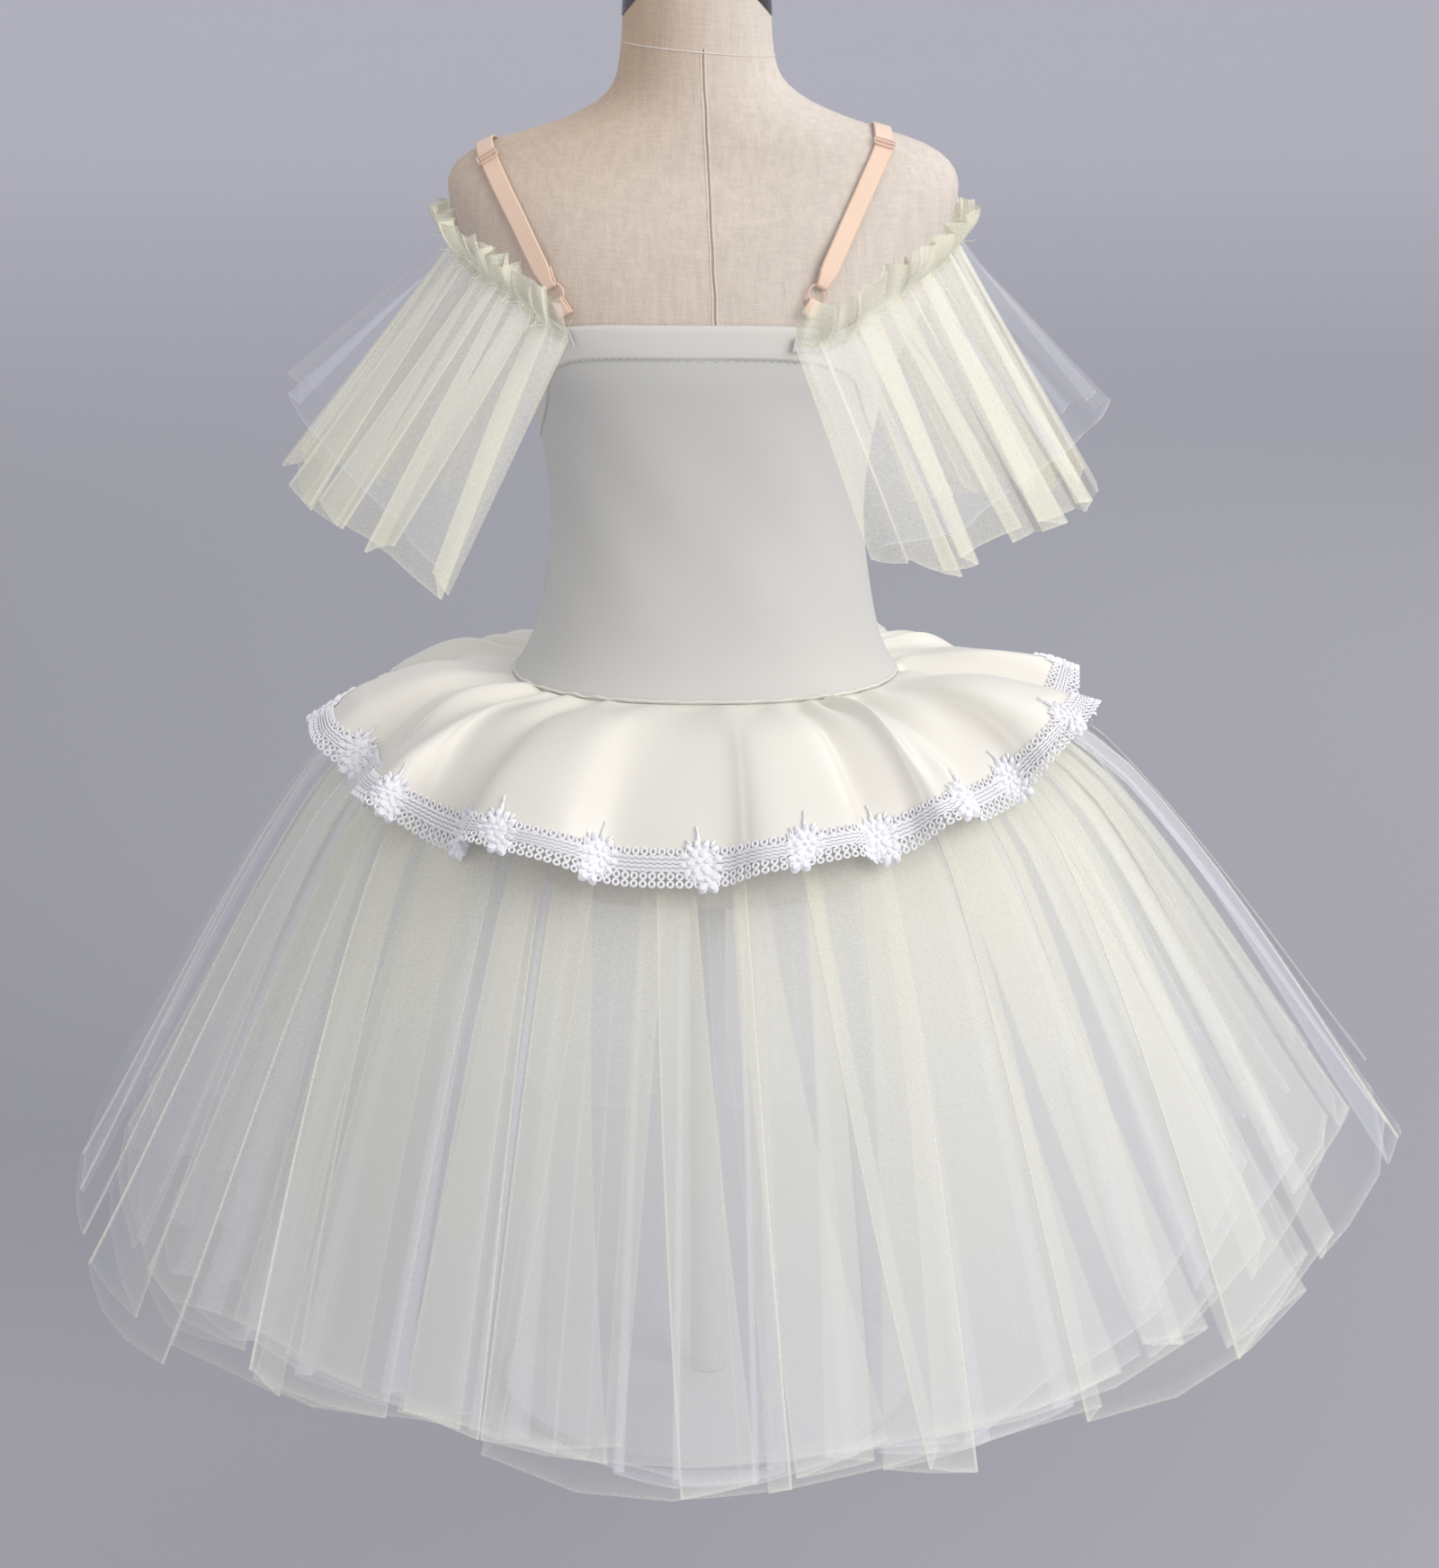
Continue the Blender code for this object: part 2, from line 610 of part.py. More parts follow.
def sleeve_base(sleeve, ply):
    """The smooth surface under a flounce's folds: straight rulings that fan out from the band."""
    side = -1.0 if sleeve.mirror else 1.0

    def base(u, share):
        turn = min(max(u, 0.0), 1.0)
        bearing = sleeve_bearing(sleeve, turn)
        end_bearing = sleeve.back_bearing if bearing > 0 else sleeve.front_bearing
        end_slope = sleeve.slope_back if bearing > 0 else sleeve.slope_front
        to_end = bearing / end_bearing
        middle = 1 - to_end * to_end
        length = SLEEVE_LENGTH * (ply.end_length + (ply.middle_length - ply.end_length) * middle)
        turned = (end_slope - sleeve.slope_out) * to_end - ply.raised * middle
        slope = math.radians(sleeve.slope_out + turned)
        fan = math.radians(bearing * SLEEVE_FAN)
        level = Vector((side * math.cos(fan), math.sin(fan), 0.0))
        down = level * math.cos(slope) - Vector((0.0, 0.0, math.sin(slope)))
        out = level * math.sin(slope) + Vector((0.0, 0.0, math.cos(slope)))
        start = band_point(sleeve, turn, TULLE + 2 * SLEEVE_PLY_GAP)
        if ply.headed:
            return start + down * length * share
        apart = TULLE + SLEEVE_PLY_GAP * (1 + SLEEVE_PLY_SPREAD * share)
        return start + out * apart + down * (SLEEVE_WHITE_START + length * share)

    return base


def make_sleeve_band(sleeve):
    turns = [c / SLEEVE_BAND_STEPS for c in range(SLEEVE_BAND_STEPS + 1)]
    if sleeve.mirror:
        turns.reverse()
    half = SLEEVE_BAND_WIDTH / 2
    rows = [[band_point(sleeve, turn, 0.0, rise) for turn in turns] for rise in (half, 0.0, -half)]
    wall(f"sleeve_{sleeve.side}_band", rows, SLEEVE_BAND_WALL, False, "elastic")


def make_sleeve_ply(sleeve, ply):
    base = sleeve_base(sleeve, ply)
    seed = ply.seed + (MIRROR_SEED if sleeve.mirror else 0)
    lean = wander(seed + 1, SLEEVE_FOLD_LEAN, 1, 4)
    depths = wander(seed, SLEEVE_UNEVENNESS, 1, 4)
    folds = Folds(ply.folds, SLEEVE_DEPTH, SLEEVE_TUCK, 0.0, lean, lambda turn: 0.0, depths)
    count = ply.folds * COLUMNS_PER_FOLD
    rows = []
    for share in SLEEVE_RUN:
        row = []
        for c in range(count + 1):
            s = c / count
            fuller = SLEEVE_END_DEPTH + (1 - SLEEVE_END_DEPTH) * math.sin(math.pi * s)
            row.append(folded(base, folds, s, share, share * fuller))
        rows.append(row)
    if ply.headed:
        head = []
        for c in range(count + 1):
            s = c / count
            out = (band_point(sleeve, s, 1.0) - band_point(sleeve, s, 0.0)).normalized()
            ruffle = 1 + SLEEVE_HEAD_RUFFLE * math.sin(4 * math.pi * ply.folds * s)
            up = Vector((0.0, 0.0, SLEEVE_HEAD_HEIGHT))
            head.append(rows[0][c] + up + out * SLEEVE_HEAD_LEAN * ruffle)
        rows.insert(0, head)
    if sleeve.mirror:
        rows = [list(reversed(row)) for row in rows]
    wall(f"sleeve_{sleeve.side}_{ply.name}", rows, TULLE, False, ply.finish)


# Straps and their fittings


def surface_ray(across, angle, lift):
    """The point over the form along a ray from inside the shoulder, from level at the back over the top."""
    ray = Vector((0.0, math.cos(angle), math.sin(angle)))
    centre = Vector((across, 0.0, SEAM_HEIGHT + STRAP_CENTRE_HEIGHT))
    near, far = 0.0, SEARCH_REACH
    for _ in range(SEARCH_STEPS):
        middle = (near + far) / 2
        if fullness(centre + ray * middle) < 1:
            near = middle
        else:
            far = middle
    return centre + ray * (near + lift)


def strap_point(strap, angle, lift):
    """A point of a strap's line, which is straight as seen from behind and from the front."""
    foot = strap.back_x if angle < math.pi / 2 else strap.front_x
    across = foot
    for _ in range(LINE_STEPS):
        point = surface_ray(across, angle, lift)
        rise = (point.z - SEAM_HEIGHT - STRAP_FOOT) / (STRAP_CREST - STRAP_FOOT)
        across = foot + (strap.top_x - foot) * min(max(rise, 0.0), 1.0)
    return point


def angle_at_height(strap, height, low, high):
    """The angle at which a strap's line passes a height, between two angles."""
    rising = strap_point(strap, high, 0.0).z > strap_point(strap, low, 0.0).z
    for _ in range(SEARCH_STEPS):
        middle = (low + high) / 2
        if (strap_point(strap, middle, 0.0).z - SEAM_HEIGHT < height) == rising:
            low = middle
        else:
            high = middle
    return middle


def strap_frame(strap, angle):
    """Point on the form, and directions along the strap, across it and away from the form."""
    step = 0.02
    here = strap_point(strap, angle, 0.0)
    along = (strap_point(strap, angle + step, 0.0) - strap_point(strap, angle - step, 0.0)).normalized()
    across = along.cross(outward(here)).normalized()
    return here, along, across, across.cross(along).normalized()


Station = namedtuple("Station", "point across width")


def ribbon(name, stations, finish):
    """A flat strap through stations, each with its direction across and its width."""
    points = []
    for i, station in enumerate(stations):
        ahead = stations[min(i + 1, len(stations) - 1)].point - stations[max(i - 1, 0)].point
        half = station.across * (station.width / 2)
        face = ahead.cross(station.across).normalized() * (STRAP_WALL / 2)
        for corner in (-half - face, -half + face, half + face, half - face):
            points.append(station.point + corner)
    faces = [(0, 1, 2, 3)]
    for r in range(len(stations) - 1):
        for c in range(4):
            d = (c + 1) % 4
            faces.append((4 * r + d, 4 * r + c, 4 * r + 4 + c, 4 * r + 4 + d))
    last = 4 * (len(stations) - 1)
    faces.append((last + 3, last + 2, last + 1, last))
    return add_solid(name, points, faces, finish)


def hook(centre, along, across, out, straight, width, steps=6):
    """Stations that come back along the form, pass narrowed through a ring and leave on its far side."""
    stations = [Station(centre + along * straight - out * HOOK_RADIUS, across, width)]
    for i in range(steps + 1):
        turn = math.pi * i / steps
        reach = -along * math.sin(turn) - out * math.cos(turn)
        narrow = width if i in (0, steps) else min(STRAP_PINCH, width)
        stations.append(Station(centre + reach * HOOK_RADIUS, across, narrow))
    return stations


def make_strap(strap):
    ring_angle = angle_at_height(strap, RING_HEIGHT, *BACK_ANGLES)
    here, along, across, out = strap_frame(strap, ring_angle)
    ring_centre = here + out * RING_LIFT
    make_ring(f"strap_ring_{strap.side}", ring_centre, out)

    top_wire = ring_centre + along * RING_RADIUS
    stations = hook(top_wire, along, across, out, STRAP_TURN_BACK, STRAP_WIDTH)
    start_height = RING_HEIGHT + RING_RADIUS + STRAP_LEAVING
    start_angle = angle_at_height(strap, start_height, *BACK_ANGLES)
    front_bearing = 360 - STRAP_FRONT_BEARING if strap.side == "left" else 180 + STRAP_FRONT_BEARING
    front_edge = bodice_top(front_bearing) + STRAP_FRONT_GAP
    end_angle = angle_at_height(strap, front_edge, *FRONT_ANGLES)
    high = RING_LIFT + HOOK_RADIUS
    travelled = STRAP_LEAVING
    before = None
    for i in range(STRAP_STEPS + 1):
        angle = start_angle + (end_angle - start_angle) * i / STRAP_STEPS
        here, _, side, away = strap_frame(strap, angle)
        if before:
            travelled += (here - before).length
        before = here
        lift = high + (STRAP_LIFT - high) * min(travelled / STRAP_SETTLE, 1.0)
        stations.append(Station(here + away * lift, side, STRAP_WIDTH))
    ribbon(f"strap_{strap.side}", stations, "elastic")

    low_wire = ring_centre - along * RING_RADIUS
    tab = hook(low_wire, -along, -across, out, TAB_LENGTH, TAB_WIDTH)
    tab.append(Station(tab[-1].point - along * TAB_LENGTH, -across, TAB_WIDTH))
    ribbon(f"strap_tab_{strap.side}", tab, "elastic")
    make_slider(strap)


def place(made, origin, x_axis, y_axis, z_axis):
    made.matrix_world = Matrix((x_axis, y_axis, z_axis)).transposed().to_4x4()
    made.location = origin


def make_ring(name, centre, axis):
    bpy.ops.mesh.primitive_torus_add(
        major_segments=20, minor_segments=6, major_radius=RING_RADIUS, minor_radius=RING_WIRE
    )
    made = bpy.context.object
    made.name = name
    made.data.materials.append(material("fitting"))
    made.data.shade_smooth()
    side = Vector((1.0, 0.0, 0.0)).cross(axis).normalized()
    place(made, centre, side.cross(axis).normalized(), side, axis)


def make_slider(strap):
    """A flat frame with a middle bar, lying over the strap."""
    here, along, across, out = strap_frame(strap, SLIDER_ANGLE)
    length, width = SLIDER_SIZE
    xs = [-length / 2, -length / 2 + SLIDER_BAR, -SLIDER_BAR / 2]
    xs += [-x for x in reversed(xs)]
    ys = [-width / 2, -width / 2 + SLIDER_BAR, width / 2 - SLIDER_BAR, width / 2]
    points = [Vector((x, y, 0.0)) for y in ys for x in xs]
    faces = []
    for r in range(len(ys) - 1):
        for c in range(len(xs) - 1):
            if r == 1 and c in (1, 3):
                continue
            near, far = r * len(xs) + c, (r + 1) * len(xs) + c
            faces.append((near, near + 1, far + 1, far))
    made = add_solid(f"strap_slider_{strap.side}", points, faces, "fitting")
    thick = made.modifiers.new("Wall", "SOLIDIFY")
    thick.thickness = SLIDER_BAR
    thick.offset = 1.0
    lift = STRAP_LIFT + STRAP_WALL / 2 + 2 * SEAM_GAP
    place(made, here + out * lift, along, out.cross(along), out)


# Form and stand


def clear_scene():
    for found in list(bpy.data.objects):
        bpy.data.objects.remove(found, do_unlink=True)


def make_form():
    heights = sorted([section.height for section in FORM_SECTIONS] + list(FORM_EXTRA_ROWS))
    bearings = [2 * math.pi * c / FORM_COLUMNS for c in range(FORM_COLUMNS)]
    loft("form_torso", [[form_point(h, b) for b in bearings] for h in heights], "linen")
    top = FORM_SECTIONS[-1]
    rings = []
    for ring in NECK_CAP_RINGS:
        width = top.half_width - ring.inset
        depth = (top.back_depth + top.front_depth) / 2 - ring.inset
        z = SEAM_HEIGHT + top.height + SEAM_GAP + ring.rise
        rings.append([Vector((top.centre + width * math.cos(b), depth * math.sin(b), z)) for b in bearings])
    loft("neck_cap", rings, "cap")


def make_cylinder(name, radius, low, high, finish):
    mesh = bpy.data.meshes.new(name)
    body = bmesh.new()
    bmesh.ops.create_cone(
        body, cap_ends=True, segments=ROUND_SIDES, radius1=radius, radius2=radius, depth=high - low
    )
    body.to_mesh(mesh)
    body.free()
    mesh.materials.append(material(finish))
    mesh.shade_smooth()
    mesh.set_sharp_from_angle(angle=SHARP_EDGE)
    made = bpy.data.objects.new(name, mesh)
    bpy.context.scene.collection.objects.link(made)
    made.location = (0.0, 0.0, (low + high) / 2)


def make_stand():
    underside = SEAM_HEIGHT + FORM_SECTIONS[0].height
    make_cylinder("base_plate", BASE_RADIUS, 0.0, BASE_THICKNESS, "stand")
    make_cylinder("pole", POLE_RADIUS, BASE_THICKNESS + SEAM_GAP, underside - SEAM_GAP, "stand")


def main():
    clear_scene()
    make_stand()
    make_form()
    make_bodice()
    make_yoke()
    make_peplum()
    make_lace()
    for ply in PLIES:
        make_ply(ply)
    for sleeve in SLEEVES:
        make_sleeve_band(sleeve)
        for ply in SLEEVE_PLIES:
            make_sleeve_ply(sleeve, ply)
    for strap in STRAPS:
        make_strap(strap)


main()
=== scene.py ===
"""Child's half-length ballet tutu on a limbless dress form: cloth, net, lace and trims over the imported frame.

Metres, +Z up. The front faces -Y and the back +Y, so the wearer's left is +X. Heights in the tables are above
the waist seam. A bearing is the angle round the body: 0 is the wearer's left, 90 the back, 180 the wearer's
right and 270 the front.
"""

import math
import random
from collections import namedtuple

import bmesh
import bpy
import numpy as np
from bpy.props import FloatProperty, FloatVectorProperty, PointerProperty
from bpy.types import Operator, Panel, PropertyGroup
from mathutils import Matrix, Vector


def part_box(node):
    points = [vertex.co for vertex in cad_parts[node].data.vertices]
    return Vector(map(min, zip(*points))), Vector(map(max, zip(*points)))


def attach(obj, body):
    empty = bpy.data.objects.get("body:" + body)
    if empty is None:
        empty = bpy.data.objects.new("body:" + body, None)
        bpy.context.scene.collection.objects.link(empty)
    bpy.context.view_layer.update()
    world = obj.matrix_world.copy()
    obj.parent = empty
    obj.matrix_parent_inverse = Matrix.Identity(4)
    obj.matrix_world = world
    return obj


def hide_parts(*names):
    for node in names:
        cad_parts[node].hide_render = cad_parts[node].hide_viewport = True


bl_info = {
    "name": "Ballet tutu on a dress form",
    "version": (1, 0, 0),
    "blender": (4, 5, 0),
    "location": "3D View > Sidebar > Tutu",
    "description": "Builds the cloth, net, lace and trims of a child's ballet tutu on a dress form",
    "category": "Object",
}

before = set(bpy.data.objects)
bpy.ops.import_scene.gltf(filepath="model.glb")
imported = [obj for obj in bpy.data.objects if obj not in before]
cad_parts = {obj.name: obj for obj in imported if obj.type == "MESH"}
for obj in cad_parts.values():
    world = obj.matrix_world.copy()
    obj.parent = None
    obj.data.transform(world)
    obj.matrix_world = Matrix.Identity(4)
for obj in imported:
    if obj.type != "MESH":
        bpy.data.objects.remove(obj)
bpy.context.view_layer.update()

# Sizes of the dress and the form
SEAM_HEIGHT = 0.470  # waist seam above the floor
SEAM_GAP = 0.0003  # between neighbouring pieces
CLOTH = 0.0012  # wall of the stretch cloth
TULLE = 0.0010  # room that one ply of net takes up
FORM_CLEARANCE = 0.0016  # from the form to the inside of the bodice
SKIRT_BULK = 0.0096  # how far the gathered plies push the seam off the form
BULK_FADE = 0.012  # height over which that push fades out
TOP_BAND_WIDTH = 0.020
YOKE_DEPTH = 0.044
SIDE_GAP = math.radians(0.18)  # between the bodice's two panels
SAME_PLACE = 1e-6  # points closer than this are one

Section = namedtuple("Section", "height centre half_width back_depth front_depth squareness")
FORM_SECTIONS = [
    Section(-0.130, 0.001, 0.0960, 0.078, 0.074, 2.3),
    Section(-0.118, 0.001, 0.1080, 0.088, 0.082, 2.3),
    Section(-0.060, 0.001, 0.1130, 0.092, 0.084, 2.3),
    Section(0.000, 0.001, 0.1040, 0.083, 0.079, 2.3),
    Section(0.045, 0.000, 0.0955, 0.077, 0.076, 2.3),
    Section(0.090, 0.000, 0.0905, 0.073, 0.075, 2.3),
    Section(0.130, 0.000, 0.0935, 0.074, 0.078, 2.3),
    Section(0.165, 0.000, 0.1010, 0.077, 0.080, 2.3),
    Section(0.190, 0.000, 0.1140, 0.079, 0.079, 2.4),
    Section(0.225, 0.001, 0.1310, 0.077, 0.074, 2.5),
    Section(0.260, 0.001, 0.1415, 0.070, 0.064, 2.6),
    Section(0.288, 0.002, 0.1485, 0.058, 0.052, 2.7),
    Section(0.302, 0.002, 0.1430, 0.052, 0.047, 2.5),
    Section(0.313, 0.001, 0.1250, 0.050, 0.045, 2.3),
    Section(0.325, 0.000, 0.0865, 0.048, 0.044, 2.1),
    Section(0.338, 0.002, 0.0590, 0.045, 0.042, 2.0),
    Section(0.354, 0.005, 0.0465, 0.043, 0.042, 2.0),
    Section(0.398, 0.0055, 0.0420, 0.042, 0.042, 2.0),
]

# Top edge of the bodice: high at the back and the front, scooped under the arms.
TopEdge = namedtuple("TopEdge", "bearing height")
BODICE_TOP = [TopEdge(*row) for row in (
    (0, 0.160), (22, 0.176), (42, 0.205), (56, 0.2145), (87, 0.2170), (114, 0.2145), (134, 0.203),
    (158, 0.173), (180, 0.160), (205, 0.174), (228, 0.212), (243, 0.225), (270, 0.218), (297, 0.225),
    (312, 0.212), (335, 0.174),
)]

# Outer edge of the satin peplum and of the longest net ply: reach from the axis and drop below the seam.
Edge = namedtuple("Edge", "bearing reach drop")
PEPLUM_EDGE = [Edge(*row) for row in (
    (0, 0.211, 0.045), (45, 0.222, 0.057), (90, 0.226, 0.064), (135, 0.224, 0.044), (160, 0.226, 0.024),
    (183, 0.220, 0.022), (205, 0.206, 0.052), (230, 0.219, 0.048), (270, 0.228, 0.056), (315, 0.219, 0.051),
    (340, 0.207, 0.051),
)]
SKIRT_EDGE = [Edge(*row) for row in (
    (0, 0.392, 0.345), (20, 0.374, 0.362), (45, 0.352, 0.356), (68, 0.350, 0.360), (90, 0.356, 0.372),
    (112, 0.352, 0.366), (135, 0.370, 0.352), (155, 0.395, 0.315), (172, 0.418, 0.276), (195, 0.404, 0.262),
    (225, 0.372, 0.320), (255, 0.356, 0.352), (285, 0.358, 0.356), (312, 0.376, 0.322), (340, 0.405, 0.305),
)]

# Run of the cloth from its root to its edge: share of the way, share of the reach and share of the drop.
Run = namedtuple("Run", "share reach drop")
PEPLUM_RUN = [Run(0.0, 0.0, 0.0), Run(0.4, 0.46, 0.04), Run(0.8, 0.84, 0.56), Run(1.0, 1.0, 1.0)]
SKIRT_RUN = [Run(0.0, 0.0, 0.0), Run(0.14, 0.22, 0.03), Run(0.34, 0.48, 0.22), Run(1.0, 1.0, 1.0)]
PEPLUM_SEAM = 0.0010  # the peplum starts this far below the bodice's edge
PEPLUM_GROWTH = 1.6  # power of the share by which the flutes deepen towards the edge
FOLD_GROWTH = 1.1  # the same for the skirt's folds
TUCK_START = 0.25  # share of a fold's full depth at which its sides stand upright
PLY_GAP = 0.0009  # from the hip yoke to the gathered edge of a ply

# Smooth random drifts round a piece: seed, size, and the fewest and most waves in one turn. A piece adds
# its own seed, and may scale a size.
Drift = namedtuple("Drift", "seed size lowest highest")
FORM_SEAM_DRIFT = Drift(5, 0.0004, 3, 9)
PEPLUM_DRIFTS = {
    "lean": Drift(4, 0.8, 2, 6),
    "spacing": Drift(3, 0.032, 2, 5),
    "depths": Drift(7, 0.85, 2, 6),
    "gathers": Drift(19, 0.0130, 18, 34),
    "soft": Drift(27, 0.0120, 8, 17),
    "slow": Drift(33, 0.003, 4, 8),
    "sideways": Drift(51, 0.034, 2, 7),
    "pinch": Drift(21, 0.0010, 24, 50),
}
SKIRT_DRIFTS = {
    "spacing": Drift(0, 0.28, 2, 6),
    "depths": Drift(1, 0.25, 1, 6),
    "hem": Drift(2, 1.0, 5, 13),
    "lean": Drift(3, 0.8, 2, 7),
    "billow": Drift(7, 0.0035, 7, 19),
    "gathers": Drift(8, 0.0016, 90, 150),
    "streaks": Drift(9, 1.0, 60, 110),
}
SLEEVE_DRIFTS = {
    "depths": Drift(0, 0.3, 1, 4),
    "lean": Drift(1, 0.8, 1, 4),
    "sway": Drift(4, 0.012, 12, 40),
    "frill": Drift(5, 2.0, 15, 33),
    "ragged": Drift(6, 0.55, 7, 46),
    "gathers": Drift(7, 0.0022, 30, 52),
    "crumple": Drift(8, 1.7, 34, 62),
    "streaks": Drift(9, 1.0, 30, 52),
}

# Gathers by a seam: the share of the way down at which they are full, and over which they fade.
Gathers = namedtuple("Gathers", "full fade")
PEPLUM_GATHERS = Gathers(0.06, 0.45)
SKIRT_GATHERS = Gathers(0.10, 0.30)
SLEEVE_GATHERS = Gathers(0.05, 0.22)

# How dense a net looks: the strength of its streaks and the share over which they fade, its density at the top
# and what it loses by the hem.
Shading = namedtuple("Shading", "streaks fade top loss")
CREAM_SHADING = Shading(1.6, 0.35, 1.25, 0.55)
WHITE_SHADING = Shading(1.6, 0.35, 1.10, 0.10)
SLEEVE_SHADING = Shading(1.2, 0.45, 1.25, 0.45)

# A set of folds: how many, how far they stand out, how far their sides are tucked in, a level that they
# stand out from, how flat they are pressed, and functions of the turn for lean, spacing and unevenness.
Folds = namedtuple("Folds", "count depth tuck level press lean spacing depths")

# Pleats pressed into a strip: how many, how far they stand, the radius of their edges, how much of a panel lies
# under the next, how far an edge strays at its root and at its hem, the strength of the edge and of a minor
# crease, how much a corner of the hem steps, how unlike the panels' densities are, and a seed.
Pleats = namedtuple("Pleats", "count depth radius overlap scatter slant line minor step patchy seed")
SKIRT_PLEATS = Pleats(0, 0.0, 0.0011, 0.22, 0.20, 0.46, 1.0, 0.5, 0.024, 0.42, 5)
SLEEVE_PLEATS = Pleats(10, 0.0062, 0.0009, 0.10, 0.18, 0.36, 0.65, 0.8, 0.04, 0.10, 0)

# A strip of net before it is sewn: width round the hem, length, and the area of it that shows.
Cut = namedtuple("Cut", "width length area")

# The plies from the outside in. Reach and drop scale the skirt's edge, hem_wander is how unevenly the hem is
# cut, as a share of the length, and crisp is how sharp the pleats of a cream ply look.
Ply = namedtuple("Ply", "name cream root_drop reach drop folds hem_wander seed crisp cut")
PLIES = [
    Ply("ply_1_cream", True, 0.0060, 1.000, 1.000, 17, 0.040, 11, 1.00, Cut(3.9, 0.47, 1.66)),
    Ply("ply_2_cream", True, 0.0150, 0.930, 0.990, 15, 0.035, 23, 0.65, Cut(3.6, 0.46, 1.57)),
    Ply("ply_3_white", False, 0.0240, 0.858, 1.045, 18, 0.030, 37, 0.00, Cut(2.6, 0.46, 0.79)),
    Ply("ply_4_white", False, 0.0330, 0.786, 1.075, 16, 0.025, 41, 0.00, Cut(2.4, 0.47, 0.71)),
]
HEM_PALENESS = 0.5
# Painted light: the cream net is lightened by its seam, where the peplum shades it.
TOP_PAINTED_LIGHT = 0.6  # of the cream net by its seam
TOP_FADE = 0.3
SIDE_THINNING = 0.45  # density that the outermost ply loses at the skirt's sides
HEM_CREASE = ((0.985, 0.0), (0.995, 0.2), (1.0, 0.5))  # how much the cut edge shows: share and strength

NET_GROWTH_START = 0.12  # how far the pleats already stand at the waist, as a share of their full depth
WAVE_COLUMNS = 30  # columns of a soft wave
NET_ROWS = (
    *(0, 0.05, 0.1, 0.15, 0.2, 0.26, 0.32, 0.38, 0.45, 0.52),
    *(0.59, 0.66, 0.73, 0.8, 0.86, 0.91, 0.95, 0.98, 0.995, 1),
)

# A sleeve is a flounce of net gathered on an elastic band. Bearings are for the left sleeve.
BandPoint = namedtuple("BandPoint", "bearing height")
SLEEVE_BAND = [BandPoint(*row) for row in (
    (-66, 0.210), (-45, 0.228), (-22, 0.246), (0, 0.259), (22, 0.246), (45, 0.226), (58, 0.209),
    (72, 0.206),
)]
# Slopes are in degrees below level, where the sleeve hangs outward, backward and forward, and back_length is
# the share of its length at its back end.
Sleeve = namedtuple(
    "Sleeve", "side mirror front_bearing back_bearing slope_out slope_back slope_front back_length"
)
SLEEVES = [
    Sleeve("left", False, -60, 58, 53, 57, 57, 1.0),
    Sleeve("right", True, -60, 71, 60, 57, 60, 0.85),
]
SLEEVE_LENGTH = 0.165
SLEEVE_FAN = 0.72  # how far a ruling turns for each degree of bearing
SLEEVE_BAND_LIFT = 0.0020  # from the form
SLEEVE_END_LIFT = 0.0072  # from the form, where the band crosses over the bodice's top edge
SLEEVE_END_MARGIN = 0.013  # height above that edge at which the band starts to lift
SLEEVE_END_EASE = 0.010
SLEEVE_HEAD_HEIGHT = 0.024
SLEEVE_HEAD_LEAN = 0.0115
SLEEVE_HEAD_ROWS = (1.0, 0.97, 0.86, 0.7, 0.54, 0.38, 0.2)  # shares of its height
SLEEVE_HEAD_DENSITY = (0.50, 0.62)
SLEEVE_PLY_GAP = 0.0012
SLEEVE_PLY_SPREAD = 5  # how many gaps the white ply drifts off the cream one by its hem
SLEEVE_WHITE_START = 0.003
SLEEVE_END_DEPTH = 0.5  # depth of the white ply's folds at its ends, as a share of that at its middle
SLEEVE_ROWS = (0, 0.06, 0.13, 0.22, 0.33, 0.45, 0.58, 0.7, 0.82, 0.91, 0.97, 0.99, 1)
MIRROR_SEED = 50
# density and creases are shares of those of the skirt's net.
SleevePly = namedtuple("SleevePly", "name cream folds middle_length end_length raised seed density creases cut")
SLEEVE_PLIES = [
    SleevePly("cream", True, 10, 1.00, 0.96, 0, 5, 1.75, 1.0, Cut(0.76, 0.189, 0.121)),
    SleevePly("white", False, 5, 0.76, 0.90, 9, 9, 0.8, 0.3, Cut(0.48, 0.145, 0.050)),
]
# Loose ends of thread along a heading: how many on a sleeve, their radius, and their shortest and longest.
Threads = namedtuple("Threads", "count radius shortest longest")
SLEEVE_THREADS = Threads(120, 0.00011, 0.006, 0.016)

# A strap runs from its ring at the back, over the shoulder and down to the front of the bodice.
Strap = namedtuple("Strap", "side back_x top_x front_x")
STRAPS = [Strap("left", 0.078, 0.128, 0.064), Strap("right", -0.056, -0.101, -0.060)]
STRAP_WIDTH = 0.0108
STRAP_PINCH = 0.0068  # its width where it is gathered through a ring
STRAP_WALL = 0.0008
STRAP_LIFT = 0.0021  # from the form to the middle of the strap
STRAP_CENTRE_HEIGHT = 0.205  # of the point inside the form from which a strap's line is found
STRAP_CREST = 0.312
STRAP_FOOT = 0.220
STRAP_LEAVING = 0.004  # from the ring's wire to where the strap's long run begins
STRAP_FRONT_GAP = 0.0024  # from the bodice's front edge to the strap's end
STRAP_TURN_BACK = 0.009
STRAP_FRONT_BEARING = 62  # of the strap's foot on the bodice's front edge, from the side seam
STRAP_SETTLE = 0.040  # length over which the strap comes down from the ring onto the form
STRAP_STEPS = 70
RING_HEIGHT = 0.2335
RING_RADIUS = 0.0056
RING_WIRE = 0.0007
RING_LIFT = 0.0034
HOOK_RADIUS = 0.0019  # of a strap's turn round the ring's wire
HOOK_STEPS = 12
TAB_LENGTH = 0.0085
TAB_WIDTH = 0.0086
BACK_ANGLES = (math.radians(3), math.radians(69))  # where a strap's line is looked for at the back
FRONT_ANGLES = (math.radians(110), math.radians(176))
SLIDER_ANGLE = math.radians(73)
SLIDER_SIZE = (0.0070, 0.0135)
SLIDER_BAR = 0.0011
SLIDER_CORNER = 0.0014
SEARCH_STEPS = 30
LINE_STEPS = 5
